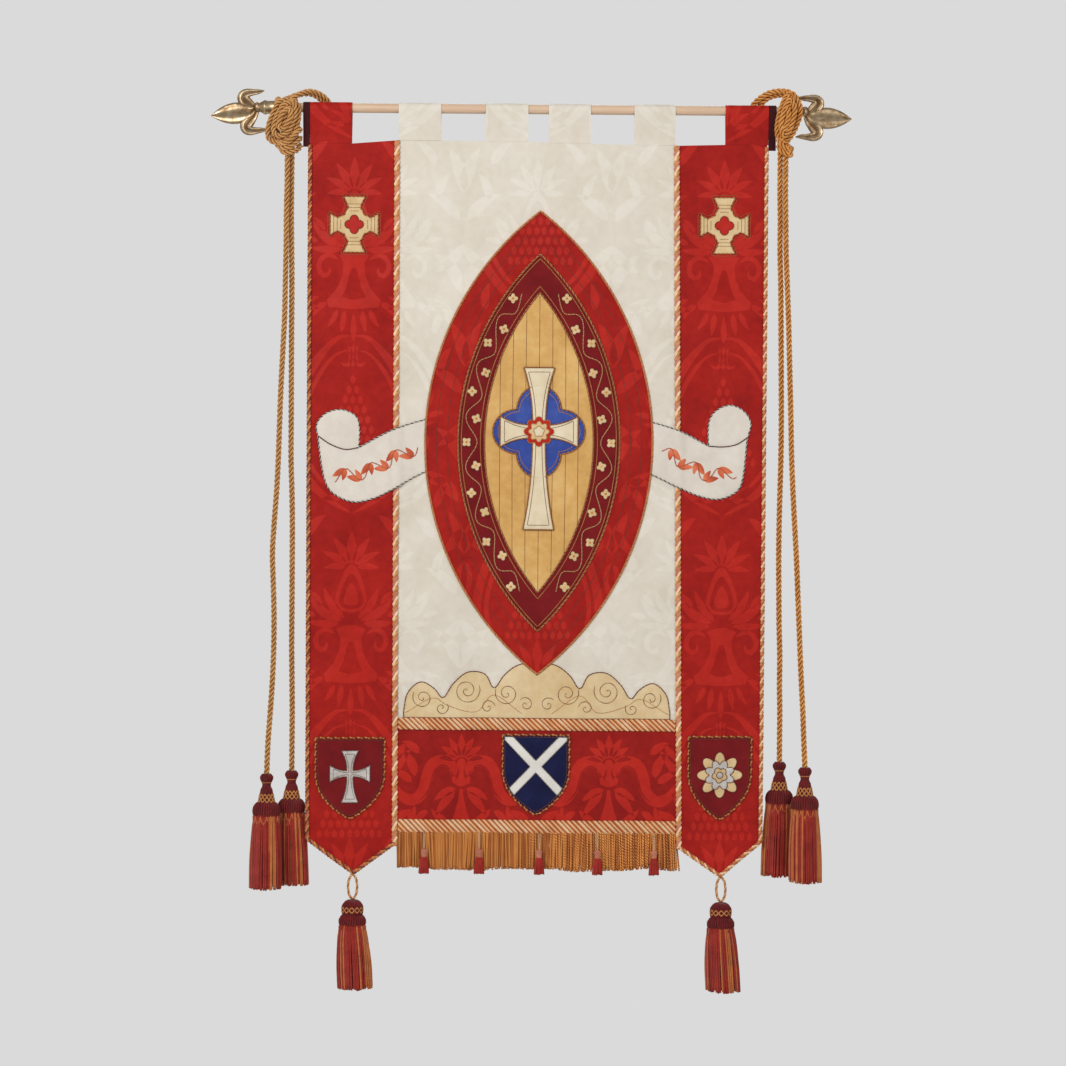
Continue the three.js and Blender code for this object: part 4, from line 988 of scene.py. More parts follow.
for name, lappet in LAPPETS.items():
    low, high = box_mm("seam_braid_" + name)
    route = [(line_at(lappet["inner"], z), z) for z in (high[2], low[2])]
    path = on_cloth(even_steps(route, 2.4), CLOTH_THICK / 2 + 2.4)
    laid_cord(Shape(), path, **SEAM_CORD).piece("seam_braid_" + name, SEAM_TONE, "gold_braid")
    inset = -lappet["side"] * 1.0
    outer_top = LINES[lappet["outer"]][0]
    low, high = box_mm("edge_cord_" + name)
    route = [
        (outer_top + inset, high[2]),
        (line_at(lappet["outer"], SHOULDER_Z) + inset, SHOULDER_Z - 1),
        (lappet["tip"], low[2] + 2.2),
        (line_at(lappet["inner"], lappet["inner_z"]), lappet["inner_z"] + 1.5),
    ]
    path = on_cloth(rounded(route, 5, 2.2), CLOTH_THICK / 2 + 2.6)
    laid_cord(Shape(), path, **EDGE_CORD).piece("edge_cord_" + name, EDGE_TONE[name], "gold_braid")


# Wide braids of slanting ribs
RIB_PITCH = 10.5
RIB_SLANT = 25
RIB_YARNS = 4
# Each rib's yarns in turn: the rust yarn low in the groove between ribs is painted shade, and the cream yarn
# on the crest is partly the braid's own cream thread and partly a painted highlight
RIB_TONES = [3, 0, 1, 0]
RIB_RISE = [0.0, 0.6, 1.0, 0.6]
RIB_LEAST = 0.12
RIB_RADIUS = 1.5
FINE_CORD = {"lobes": 2, "pitch": 7, "per_lobe": 3}
for node in ("wide_braid_upper", "wide_braid_lower"):
    low, high = box_mm(node)
    shape = Shape()
    yarn_step = RIB_PITCH / RIB_YARNS
    for k in range(int((high[0] - low[0] + RIB_SLANT) / yarn_step)):
        x = low[0] - RIB_SLANT + yarn_step * (k + 0.5)
        t0 = max(0.0, (low[0] - x) / RIB_SLANT)
        t1 = min(1.0, (high[0] - x) / RIB_SLANT)
        if t1 - t0 < RIB_LEAST:
            continue
        t = np.linspace(t0, t1, 9)
        row = k % RIB_YARNS
        flat = np.stack([x + RIB_SLANT * t, high[2] + (low[2] - high[2]) * t], axis=1)
        swell = np.sin(math.pi * t) ** 0.5
        rise = 0.9 * swell + RIB_RISE[row] + 0.3 * uneven(k)
        path = on_cloth(flat, CLOTH_THICK / 2 + GAP + 1.0 + rise)
        thick = RIB_RADIUS * (0.6 + 0.4 * swell) * (0.92 + 0.16 * uneven(k + 70))
        tone = 1 if row == 3 and uneven(k + 9) < 0.4 else RIB_TONES[row]
        round_cord(shape, path, thick, 6, tone, start=uneven(k + 3))
    for z in (low[2] + 1.2, high[2] - 1.2):
        line = on_cloth(even_steps([(low[0] + 1, z), (high[0] - 1, z)], 2.2), CLOTH_THICK / 2 + GAP + 1.3)
        laid_cord(shape, line, 1.3, kinds=(3,), **FINE_CORD)
    backing = rectangle(low[0] + 1, low[2] + 2, high[0] - 1, high[2] - 2)
    slab(shape, [backing], CLOTH_THICK / 2 + GAP, 0.8, CLOTH_STEP, kinds=2)
    shape.piece(node, [BRAID_YARN, CREAM_YARN, ROSE_YARN, RUST_YARN], "gold_braid")


# Fringe of twisted bullion, and small tassels in front of it

FRINGE_ROWS = [-2.4, 0.2, 2.8, 5.4]
FRINGE_PITCH = 3.5
FRINGE_LENGTH = 66
FRINGE_SPLAY_FROM = 0.93
FRINGE_SPLAY_RUN = 0.07
FRINGE_SPLAY = 9
FRINGE_DEEP_SHARE = 0.34
low, high = box_mm("fringe")
shape = Shape()
slab(shape, [rectangle(low[0], low[2] + FRINGE_LENGTH, high[0], high[2])], -1.8, 2.4, CLOTH_STEP)
count = int((high[0] - low[0] - 4) / FRINGE_PITCH)
for row, depth in enumerate(FRINGE_ROWS):
    for k in range(count):
        seed = k * 3 + row * 701
        x = low[0] + 2 + FRINGE_PITCH * (k + 0.27 * row + 0.6 * (uneven(seed) - 0.5))
        foot = low[2] + 1 + 8 * uneven(seed + 5) ** 2
        foot += 2.2 * (1 + math.sin(k / 11 + 1)) + 1.2 * math.sin(k / 4.3)
        splay = FRINGE_SPLAY * max(0.0, k / count - FRINGE_SPLAY_FROM) / FRINGE_SPLAY_RUN
        lean = 6.0 * (uneven(seed + 9) - 0.5) + 2.0 * math.sin(k / 9) + splay
        z = np.array([high[2] - 1, high[2] - 20, high[2] - 46, foot])
        flat = np.stack([x + lean * np.array([0, 0.1, 0.5, 1.0]), z], axis=1)
        path = spline(on_cloth(flat, -depth), 9.0)
        tone = 1 if uneven(seed + 11) < FRINGE_DEEP_SHARE else 0
        radius, pitch = 1.6 + 0.4 * uneven(seed + 3), 8 + 5 * uneven(seed + 1)
        round_cord(shape, path, radius, 6, tone, pitch=pitch, start=9 * uneven(seed + 2))
shape.piece("fringe", [FRINGE_YARN, FRINGE_DEEP], "gold_fringe", sharp=SHARP_STRAND)


KNOB_THREADS = 18
KNOB = [(0.5, 0), (4.6, 2), (5.6, 5), (4.4, 9), (3.4, 11), (4.6, 13), (5.2, 16)]
SMALL_TOP = -1479
SMALL_LENGTH = 50
SMALL_RINGS = [{"count": 22, "above": 4.6, "below": 9.6}, {"count": 12, "above": 2.4, "below": 5.4}]
for k in range(1, 6):
    node = "small_tassel_%d" % k
    low, high = box_mm(node)
    x = (low[0] + high[0]) / 2
    y = low[1] + 8
    shape = Shape()
    for j in range(KNOB_THREADS):
        turn = TAU * j / KNOB_THREADS
        line = [(x + r * math.cos(turn), y + 0.8 * r * math.sin(turn), SMALL_TOP - drop) for r, drop in KNOB]
        round_cord(shape, even_steps(line, 2.2), 0.95, kind=1)
    for index, ring in enumerate(SMALL_RINGS):
        above, below = ring["above"], ring["below"]
        for j in range(ring["count"]):
            seed = k * 97 + index * 31 + j
            turn = TAU * (j + 0.4 * uneven(seed)) / ring["count"]
            foot = SMALL_TOP - SMALL_LENGTH + 3 * uneven(seed + 7)
            line = [
                (x + above * math.cos(turn), y + 0.7 * above * math.sin(turn), SMALL_TOP - 14),
                (x + below * 0.85 * math.cos(turn), y + 0.6 * below * math.sin(turn), SMALL_TOP - 30),
                (x + below * math.cos(turn), y + 0.6 * below * math.sin(turn), foot),
            ]
            round_cord(shape, spline(line, 5.0), 1.25)
    thread_top = box_mm("wide_braid_lower")[0][2] - 0.5
    for lean in (-1.3, 1.3):
        line = [(x + lean, y + 5.5, thread_top), (x + lean, y + 2, -1462), (x + 0.3 * lean, y, SMALL_TOP - 2)]
        laid_cord(shape, spline(line, 2.5), 1.1, kinds=(2,), **FINE_CORD)
    shape.piece(node, [TASSEL_BRIGHT, PINK_YARN, CREAM_YARN], "red_tassel", sharp=SHARP_STRAND)


# Large tassels

def ring_point(centre, turn, radius, drop):
    return (centre[0] + radius * math.cos(turn), centre[1] + radius * math.sin(turn), centre[2] - drop)


def around(centre, turn, radius, drop):
    """Points about a tassel's middle line: how far round, how far out and how far down they are."""
    across = [centre[0] + radius * np.cos(turn), centre[1] + radius * np.sin(turn)]
    return np.stack([*across, centre[2] - drop], axis=1)


def wound(shape, centre, profile, count, radius, seed):
    """Dark threads laid side by side over a turned form: profile is radius and drop."""
    for j in range(count):
        size = radius * (0.85 + 0.3 * uneven(j + seed))
        line = [ring_point(centre, TAU * j / count, r, drop) for r, drop in profile]
        round_cord(shape, even_steps(line, 3.2), size, kind=DARK)


def ring_cord(shape, centre, radius, drop, size, *kinds):
    """A twisted cord round a tassel."""
    turn = np.linspace(0, TAU, RING_POINTS, endpoint=False)
    path = np.array([ring_point(centre, t, radius, drop) for t in turn])
    laid_cord(shape, path, size, kinds=kinds, closed=True, **FINE_CORD)


def core(shape, centre, profile, shrink):
    """A closed turned form under the threads."""
    turn = -TAU * np.arange(CORE_SIDES) / CORE_SIDES
    rings = [[ring_point(centre, t, max(r - shrink, 0.2), drop) for t in turn] for r, drop in profile]
    skin(shape, np.array(rings), DARK)


def lattice(shape, centre, profile, cells, rows, size):
    """A net of crossing gold threads over a turned form."""
    radii, drops = np.array(profile, float).T
    for hand in (1, -1):
        for j in range(cells):
            t = np.linspace(0, 1, rows * 3 + 1)
            drop = drops[0] + (drops[-1] - drops[0]) * t
            radius = np.interp(drop, drops, radii) + size * 0.7
            turn = TAU * (j / cells) + hand * math.pi / cells * rows * t
            round_cord(shape, around(centre, turn, radius, drop), size, kind=NET)


def collar(shape, centre, profile, seed):
    """A bulge of dark threads in two layers."""
    core(shape, centre, profile, 2.4)
    for layer, row in enumerate(COLLAR_LAYERS):
        threads = [(r - row["inset"] - 1.6, d + row["lower"]) for r, d in profile]
        wound(shape, centre, threads, 34 + 3 * layer, row["thread"], seed + layer)


def skirt(shape, centre, top, foot, below_radii, seed, gold_share, drift):
    """Hanging strands in three rings. The foot hangs lower in front, and drift moves it along x."""
    for index, (row, below) in enumerate(zip(SKIRT_RINGS, below_radii)):
        count, above = row["count"], row["above"]
        for j in range(count):
            key = seed + 41 * index + j * 7
            turn = TAU * (j + 0.7 * (uneven(key) - 0.5)) / count
            reach = foot - 6 * uneven(key + 2) ** 2 - 2.5 * (1 + math.sin(turn))
            sway = 0.05 * (uneven(key + 3) - 0.5)
            bulge = 1 + 0.05 * math.sin(5 * turn + seed)
            wider, lower = below - above, reach - top
            line = [
                ring_point(centre, turn, above, top),
                ring_point(centre, turn + 0.3 * sway, above + wider * 0.55, top + lower * 0.22),
                ring_point(centre, turn + sway, (above + wider * 0.95) * bulge, top + lower * 0.62),
                ring_point(centre, turn + 1.5 * sway, below * bulge, reach),
            ]
            line = [(x + drift * share, y, z) for (x, y, z), share in zip(line, (0, 0.15, 0.6, 1))]
            patch = math.sin(3 * turn + seed) + math.sin(7 * turn + 2 * seed) * 0.8
            gold = uneven(key + 4) < (gold_share * (1.8 if patch > 0.15 else 0.35))
            size = row["strand"] * (0.85 + 0.3 * uneven(key + 6))
            round_cord(shape, spline(line, 13.0), size, kind=1 if gold else 0)


def scallops(shape, centre, radius, top, depth, kind, seed):
    """A net in loops over the top of the skirt."""
    for row in range(2):
        for j in range(SCALLOPS):
            t = np.linspace(0, 1, 9)
            turn = TAU * (j + 0.5 * row + t) / SCALLOPS
            drop = top + depth * 0.42 * row + depth * 0.6 * np.sin(math.pi * t) ** 0.8
            reach = radius + 0.8 + 0.6 * uneven(seed + j)
            round_cord(shape, around(centre, turn, reach, drop), NET_RADIUS, kind=kind)


TASSEL_KINDS = [TASSEL_RED, TASSEL_GOLD, GOLD_YARN, COLLAR_RED]
NET, DARK = 2, 3
COLLAR_LAYERS = [{"inset": 0, "lower": 0, "thread": 2.1}, {"inset": 1.6, "lower": 1.5, "thread": 1.8}]
SKIRT_RINGS = [
    {"count": 60, "above": 24, "strand": 1.85}, {"count": 42, "above": 19, "strand": 1.85},
    {"count": 24, "above": 12, "strand": 1.8},
]
SCALLOPS = 13
NET_RADIUS = 1.2
CORE_SIDES = 20
RING_POINTS = 36
SIDE_LENGTH = 231
SIDE_BELOW = (30.8, 26, 18)
LAPPET_LENGTH = 178
LAPPET_BELOW = (33, 27, 18)
SIDE_DRIFT = {"left_outer": 0, "left_inner": 5, "right_inner": -3, "right_outer": 2}
LAPPET_DRIFT = {"left": 6, "right": 7}
SIDE_HEAD = [(8, 1), (12, 6), (12.3, 10), (8.5, 17), (7.2, 21), (7.2, 26), (10.5, 32), (15, 58)]
SIDE_COLLAR = [(15.5, 57), (22, 60), (26.5, 66), (28, 74), (27, 82), (24, 86)]
for index, (rope, path) in enumerate(rope_paths.items()):
    foot = path[-1]
    centre = (foot[0], foot[1], foot[2] + 0.2)
    stands_for = ("red_tassel", "side_tassel_" + rope, SHARP_STRAND)
    shape = Shape()
    core(shape, centre, SIDE_HEAD, 1.2)
    wound(shape, centre, SIDE_HEAD[:6], 22, 1.5, index)
    wound(shape, centre, SIDE_HEAD[5:], 26, 1.5, index + 50)
    ring_cord(shape, centre, 9.2, 17.5, 1.5, NET)
    ring_cord(shape, centre, 8.0, 25.5, 1.3, DARK)
    lattice(shape, centre, [(12.6, 40), (15.8, 57)], 11, 3, 1.15)
    ring_cord(shape, centre, 16.2, 58.5, 1.5, NET, DARK)
    collar(shape, centre, SIDE_COLLAR, index)
    shape.piece("tassel_head_" + rope, TASSEL_KINDS, *stands_for)
    shape = Shape()
    skirt(shape, centre, 80, SIDE_LENGTH - 1, SIDE_BELOW, 100 * index + 11, 0.42, SIDE_DRIFT[rope])
    scallops(shape, centre, 25.4, 84, 26, 1, index)
    shape.piece("tassel_skirt_" + rope, TASSEL_KINDS, *stands_for)

LAPPET_HEAD = [(9, 0.5), (14, 3), (19.5, 10), (20.5, 18), (19.5, 26), (18, 30)]
LAPPET_COLLAR = [(18, 29), (23, 32), (27, 38), (27.6, 44), (26, 50), (22, 53)]
for index, name in enumerate(("left", "right")):
    low, high = box_mm("lappet_tassel_" + name)
    x, y = (low[0] + high[0]) / 2, (low[1] + high[1]) / 2
    centre = (x, y, high[2])
    shape = Shape()
    core(shape, centre, LAPPET_HEAD, 1.2)
    wound(shape, centre, LAPPET_HEAD, 34, 1.7, index + 7)
    lattice(shape, centre, [(20.0, 13), (19.8, 24)], 12, 2, 1.3)
    ring_cord(shape, centre, 18.6, 29, 1.6, DARK)
    collar(shape, centre, LAPPET_COLLAR, index)
    skirt(shape, centre, 48, LAPPET_LENGTH - 1, LAPPET_BELOW, 700 + 90 * index, 0.3, LAPPET_DRIFT[name])
    scallops(shape, centre, 25.6, 51, 22, 0, index)
    shape.piece("lappet_tassel_" + name, TASSEL_KINDS, "red_tassel", sharp=SHARP_STRAND)
    low, high = box_mm("tassel_loop_" + name)
    middle = (low + high) / 2 + (0, 0, 1)
    half = (high - low) / 2 - (3, 3, 2)
    turn = np.append(np.linspace(0, TAU, 60, endpoint=False), 0)
    line = [middle[0] + half[0] * np.sin(turn), middle[1] + 0 * turn, middle[2] + half[2] * np.cos(turn)]
    path = even_steps(np.stack(line, axis=1), 2.0, True)
    shape = laid_cord(Shape(), path, 3.0, pitch=13, per_lobe=4, kinds=(0, 1, 0), closed=True)
    shape.piece("tassel_loop_" + name, [GOLD_YARN, CREAM_YARN], "gold_braid")


# Knots on the pole: rings and turns of rope, and two strands that arch over and tuck in behind the red tab
KNOTS = {
    "left": {
        "collars": [-522, -490],
        "rings": [
            [(-484, -19, 4), (-503, -20, 13), (-521, -20, 6), (-532, -21, -18), (-540, -21, -42),
             (-539, -20, -64), (-524, -21, -73), (-503, -22, -67), (-487, -22, -48), (-480, -21, -22)],
            [(-490, -28, 3), (-506, -29, 4), (-519, -30, -14), (-527, -31, -36), (-528, -30, -54),
             (-518, -29, -61), (-503, -29, -54), (-492, -30, -37), (-486, -29, -16)],
            [(-497, -35, -8), (-508, -36, -13), (-516, -37, -29), (-518, -36, -44), (-510, -35, -47),
             (-500, -36, -35), (-494, -36, -20)],
        ],
        "turns": [
            [(-499, -28, 0), (-505, -29, -20), (-510, -29, -40), (-508, -24, -58), (-500, -18, -72)],
            [(-520, -14, -12), (-510, -17, -34), (-498, -17, -54), (-488, -15, -66)],
            [(-534, -9, -20), (-536, -11, -42), (-529, -12, -62)],
            [(-530, -16, -38), (-531, -15, -56), (-520, -14, -72)],
            [(-519, -12, -26), (-523, -13, -48), (-515, -14, -68)],
            [(-485, -10, -18), (-487, -11, -46), (-491, -12, -74)],
            [(-524, -6, -74), (-512, -22, -84), (-496, -26, -82), (-482, -19, -70), (-478, -6, -62),
             (-490, 3, -66)],
            [(-521, -8, -62), (-514, -25, -75), (-499, -31, -72), (-486, -27, -58), (-478, -14, -46),
             (-482, -2, -44)],
            [(-517, -8, -80), (-508, -20, -92), (-494, -22, -92), (-482, -14, -86), (-477, -4, -76)],
            [(-502, -17, -70), (-502, -17, -85), (-502, -17, -100)],
            [(-494, -5, -64), (-494, -5, -82), (-494, -5, -100)],
            [(-508, -20, -22), (-502, -20, 0), (-490, -18, 17), (-474, -12, 27), (-459, -6, 31.5),
             (-444, 0, 29), (-432, 6, 22.5), (-424, 11.5, 14.5), (-419, 16.5, 5), (-417, 17.5, -10),
             (-417, 16, -26)],
            [(-506, 10, 13), (-506, 0, 16.5), (-502, -12, 16), (-486, -10, 23), (-468, -3, 27.5),
             (-453, 4, 26.5), (-441, 10, 20), (-433, 14.5, 10.5), (-430, 17.5, -2), (-430, 16.5, -16),
             (-431, 14, -32)],
        ],
    },
    "right": {
        "collars": [487, 507],
        "rings": [
            [(503, -18, 33), (516, -21, 16), (520, -22, -6), (513, -22, -29), (503, -21, -50),
             (490, -20, -64), (478, -20, -57), (474, -21, -38), (477, -22, -15), (484, -21, 8),
             (492, -19, 27)],
            [(500, -28, 20), (508, -30, 3), (505, -31, -19), (497, -30, -43), (487, -29, -53),
             (481, -30, -36), (485, -31, -10), (492, -29, 11)],
        ],
        "turns": [
            [(497, -22, 30), (499, -24, 8), (495, -25, -14), (488, -24, -36), (484, -22, -58),
             (484, -18, -74)],
            [(494, -30, 6), (496, -33, -12), (492, -33, -30), (487, -30, -44)],
            [(486, -12, 40), (496, -14, 30), (510, -15, 8), (508, -16, -18), (499, -17, -44),
             (492, -16, -66)],
            [(476, -18, -58), (484, -27, -72), (497, -26, -80), (503, -12, -76), (497, 2, -72),
             (483, 4, -68)],
            [(477, -14, -70), (484, -25, -83), (497, -25, -90), (502, -11, -87), (496, 2, -83),
             (484, 3, -79)],
            [(495, -24, -70), (499, -26, -84), (500, -25, -94)],
            [(482, -5, -62), (482, -5, -88), (482, -5, -118)],
            [(492, -17, -66), (492, -17, -90), (492, -17, -118)],
            [(509, -17, 24), (500, -15, 35), (484, -11, 39), (466, -6, 38), (450, -1, 32), (438, 5, 24),
             (429, 11, 15), (423, 16, 5.5), (420, 17.5, -9), (419, 16, -26)],
            [(512, -14, 14), (502, -10, 27), (488, -3, 32.5), (471, 3, 32), (456, 7, 26.5),
             (445, 11.5, 17), (438, 16, 7), (435, 17.5, -6), (435, 16, -20), (436, 14, -34)],
        ],
    },
}
for name, knot in KNOTS.items():
    shape = Shape()
    for route in knot["turns"]:
        laid_rope(shape, spline(route, ROPE_STEP), start=len(route))
    for route in knot["rings"]:
        laid_rope(shape, spline(route, ROPE_STEP, closed=True), closed=True)
    for k, x in enumerate(knot["collars"]):
        turn = np.linspace(0, TAU, 48, endpoint=False)
        reach = POLE_RADIUS + GAP + ROPE_RADIUS
        swing = x + 2 * math.sin(k + 1) * np.cos(turn)
        path = np.stack([swing, reach * np.cos(turn), reach * np.sin(turn)], axis=1)
        laid_rope(shape, path, closed=True)
    shape.piece("knot_" + name, ROPE_YARNS[name], "gold_rope")


# Applied pieces: each lies on the cloth, or on the piece below it

FIRST = CLOTH_THICK / 2 + GAP
SECOND = FIRST + SKIN_THICK + GAP
THIRD = SECOND + SKIN_THICK + GAP


def applied(shape, node, materials, slot):
    shape.piece(node, materials, slot, sharp=SHARP_APPLIED)


def couch(shape, loops, near, radius, kinds=(0,),
    step=2.7, pitch=8.5, closed=True, lobes=2, place=on_cloth):
    """A twisted cord laid along lines on the cloth."""
    for loop in loops:
        flat = np.vstack([loop, loop[:1]]) if closed else np.asarray(loop, float)
        path = even_steps(flat, step, closed)
        if len(path) > 3:
            cord = place(path, np.full(len(path), near))
            laid_cord(shape, cord, radius, lobes=lobes, pitch=pitch, per_lobe=3, kinds=kinds, closed=closed)


def outward(loop):
    """Directions away from a closed line that runs against the clock."""
    way = np.roll(loop, -1, axis=0) - np.roll(loop, 1, axis=0)
    way /= np.maximum(np.linalg.norm(way, axis=1), 1e-6)[:, None]
    return np.stack([way[:, 1], -way[:, 0]], axis=1)


OVAL_POINTS = 60


def oval_arc(inset):
    """Radius of the oval's two arcs, how far off their centres lie, and half of their turn."""
    radius = OVAL_ARC - inset
    centre = OVAL_ARC - OVAL["half"]
    return radius, centre, math.acos(centre / radius)


def ovals(inset):
    """The pointed oval between two arcs, drawn in by inset."""
    radius, centre, reach = oval_arc(inset)
    turn = np.linspace(reach, -reach, OVAL_POINTS, endpoint=False)
    right = np.stack([radius * np.cos(turn) - centre, radius * np.sin(turn)], axis=1)
    return np.vstack([right, -right]) + (OVAL["x"], OVAL_MIDDLE)


def oval_side(inset, side, share0=0.03, share1=0.97, steps=OVAL_POINTS):
    """One arc of the oval, from the top to the foot, left out near its points."""
    radius, centre, reach = oval_arc(inset)
    turn = reach * (1 - 2 * np.linspace(share0, share1, steps))
    x = side * (radius * np.cos(turn) - centre) + OVAL["x"]
    return np.stack([x, radius * np.sin(turn) + OVAL_MIDDLE], axis=1)


def flared_cross(x, z, side, up, down, waist, flare):
    """A cross whose arms widen to their ends in a hollow curve."""
    points = []
    for way, length in (((1, 0), side), ((0, -1), down), ((-1, 0), side), ((0, 1), up)):
        way = np.array(way, float)
        across = np.array([-way[1], way[0]])
        share = np.linspace(0, 1, 8)
        along = waist + (length - waist) * share
        half = waist + (flare - waist) * share**2.2
        points += [way * a + across * h for a, h in zip(along, half)]
        points += [way * a - across * h for a, h in zip(along[:0:-1], half[:0:-1])]
    return np.array(points) + (x, z)


def rosette(x, z, radius, lobes, depth, count=64, start=0.0):
    turn = TAU * np.arange(count) / count
    reach = radius * (1 - depth + depth * np.abs(np.cos(lobes * (turn - start) / 2)))
    return np.stack([x + reach * np.sin(turn), z + reach * np.cos(turn)], axis=1)


def disc(x, z, radius, count=28):
    return rosette(x, z, radius, 1, 0.0, count)


def shield_outline(x, width, top, bottom, inset=0.0):
    half = width / 2 - inset
    top, bottom = top - inset, bottom + inset * 1.3
    share = np.linspace(0, 1, 26)
    drop = (top - bottom) * (0.42 + 0.58 * share**0.85)
    right = np.stack([half * np.cos(share * math.pi / 2) ** 0.8, top - drop], axis=1)
    left = right[-2::-1] * (-1, 1)
    return np.vstack([[(-half, top), (half, top)], right, left]) + (x, 0)


def spiral(x, z, radius, turns, start, hand=1):
    """A coiled line from its outer end to the middle."""
    t = np.linspace(0, 1, 30)
    reach = radius * (1 - t) ** 0.8
    angle = start + hand * TAU * turns * t
    return np.stack([x + reach * np.cos(angle), z + reach * np.sin(angle)], axis=1)


# Pointed oval in the middle of the panel
OVAL = {"x": 4, "top": -205, "bottom": -1128, "half": 226}
OVAL_MIDDLE = (OVAL["top"] + OVAL["bottom"]) / 2
OVAL_ARC = (((OVAL["top"] - OVAL["bottom"]) / 2) ** 2 + OVAL["half"] ** 2) / (2 * OVAL["half"])
VELVET_INSET = 64
FIELD_INSET = 116

shape = Shape()
figures = damask(ovals(0), OVAL["x"], -420)
rims = [ovals(0), ovals(VELVET_INSET)]
slab(shape, rims, FIRST, SKIN_THICK, 9.0, figures, kinds=(0, 1), puff=3.0)
couch(shape, [ovals(-1.0)], FIRST + 1.2, 2.6, (2, 3), pitch=12, lobes=3)
for inset in (21, 43):
    for side in (-1, 1):
        couch(shape, [oval_side(inset, side)], FIRST + SKIN_THICK, 0.9, (4,), closed=False)
applied(shape, "oval_band", [RED_GROUND, RED_FIGURE, GOLD_YARN, ROSE_YARN, BROWN_YARN], "red_damask")

shape = Shape()
slab(shape, [ovals(VELVET_INSET + GAP), ovals(FIELD_INSET)], FIRST, SKIN_THICK * 1.3, 8.0, puff=3.0)
couch(shape, [ovals(VELVET_INSET + 0.5)], FIRST + 1.5, 2.3, (1, 2), pitch=10, lobes=3)
couch(shape, [ovals(VELVET_INSET + 7)], FIRST + 1.6, 1.2, (1,))
couch(shape, [ovals(FIELD_INSET - 7)], FIRST + 1.6, 1.2, (1,))
WAVES = 6.5
WAVE_SWING = 12.5
WAVE_FROM = 0.075
FLOWER_RADIUS = 10.5
FLOWER_OFF = 8.5
BORDER_FACE = FIRST + SKIN_THICK * 1.3
flower_inset = (VELVET_INSET + FIELD_INSET) / 2
for side in (-1, 1):
    share = np.linspace(WAVE_FROM, 1 - WAVE_FROM, 150)
    t = (share - share[0]) / (share[-1] - share[0])
    swing = WAVE_SWING * np.sin(TAU * WAVES * t)
    line = [oval_side(flower_inset + s, side, at, at + 0.001, 1)[0] for at, s in zip(share, swing)]
    couch(shape, [np.array(line)], FIRST + 1.8, 1.4, (1, 3), closed=False, pitch=8)
    for k in range(int(2 * WAVES)):
        at = (k + 0.5) / (2 * WAVES)
        hand = -1 if k % 2 == 0 else 1
        x, z = oval_side(flower_inset + hand * FLOWER_OFF, side, 0.075 + 0.85 * at, 0.08 + 0.85 * at, 1)[0]
        petals = rosette(x, z, FLOWER_RADIUS, 4, 0.42, 40, 0.4 * k)
        loops = slab(shape, [petals], BORDER_FACE, 1.4, 3.0, kinds=3, puff=3.0)
        couch(shape, loops, FIRST + 2.0, 0.9, (2,), step=1.6)
        slab(shape, [disc(x, z, 2.6, 14)], BORDER_FACE + 1.0, 1.4, 2.0, kinds=1, puff=2.0)
applied(shape, "oval_border", [MAROON_VELVET, GOLD_YARN, BROWN_YARN, GOLD_CLOTH], "maroon_velvet")

shape = Shape()
slab(shape, [ovals(FIELD_INSET + GAP)], FIRST, SKIN_THICK, 8.0, puff=2.0)
couch(shape, [ovals(FIELD_INSET + 1)], FIRST + 1.3, 2.0, (1, 2), pitch=9, lobes=3)
field = ovals(FIELD_INSET + 5)
for k in range(-3, 4):
    x = OVAL["x"] + 26 * k
    inside = field[np.abs(field[:, 0] - x) < 6]
    if len(inside) > 1:
        line = [(x, inside[:, 1].max()), (x + 1.5 * math.sin(k), OVAL_MIDDLE), (x, inside[:, 1].min())]
        couch(shape, [spline(line, 6)], FIRST + SKIN_THICK, 0.75, (2,), closed=False)
applied(shape, "oval_field", [OCHRE_BROCADE, GOLD_YARN, BROWN_YARN], "ochre_brocade")

# Quatrefoil and cross on the field
CROSS_AT = (OVAL["x"], OVAL_MIDDLE + 22)
shape = Shape()
loops = slab(shape, [rosette(*CROSS_AT, 92, 4, 0.32, 96)], SECOND, SKIN_THICK, 7.0, puff=3.0)
couch(shape, loops, SECOND + 1.2, 2.0, (1, 2), pitch=9, lobes=3)
couch(shape, [rosette(*CROSS_AT, 82, 4, 0.32, 96)], SECOND + SKIN_THICK, 1.0, (1,))
applied(shape, "field_quatrefoil", [BLUE_SILK, GOLD_YARN, BROWN_YARN], "blue_silk")

shape = Shape()
cross = flared_cross(*CROSS_AT, 78, 128, 196, 13, 31)
loops = slab(shape, [cross], THIRD, SKIN_THICK * 1.4, 6.0, puff=4.0)
couch(shape, loops, THIRD + 1.2, 1.8, (1, 2), pitch=8, lobes=3)
inner = flared_cross(*CROSS_AT, 69, 119, 187, 6, 22)
couch(shape, [inner], THIRD + SKIN_THICK * 1.4, 0.9, (2,))
ROSE = [
    {"radius": 30, "lobes": 8, "depth": 0.25, "kind": 3},
    {"radius": 21, "lobes": 8, "depth": 0.3, "kind": 4},
    {"radius": 11, "lobes": 5, "depth": 0.25, "kind": 0},
]
for layer, row in enumerate(ROSE):
    near = THIRD + SKIN_THICK * 1.4 + 0.9 * layer
    petals = rosette(*CROSS_AT, row["radius"], row["lobes"], row["depth"], 72)
    loops = slab(shape, [petals], near, 1.2, 4.0, kinds=row["kind"], puff=3.0)
    couch(shape, loops, near + 0.8, 1.1, (1,), step=1.8)
applied(shape, "field_cross", [CREAM_GOLD, GOLD_YARN, BROWN_YARN, RED_FIGURE, GOLD_CLOTH], "ivory_silk")

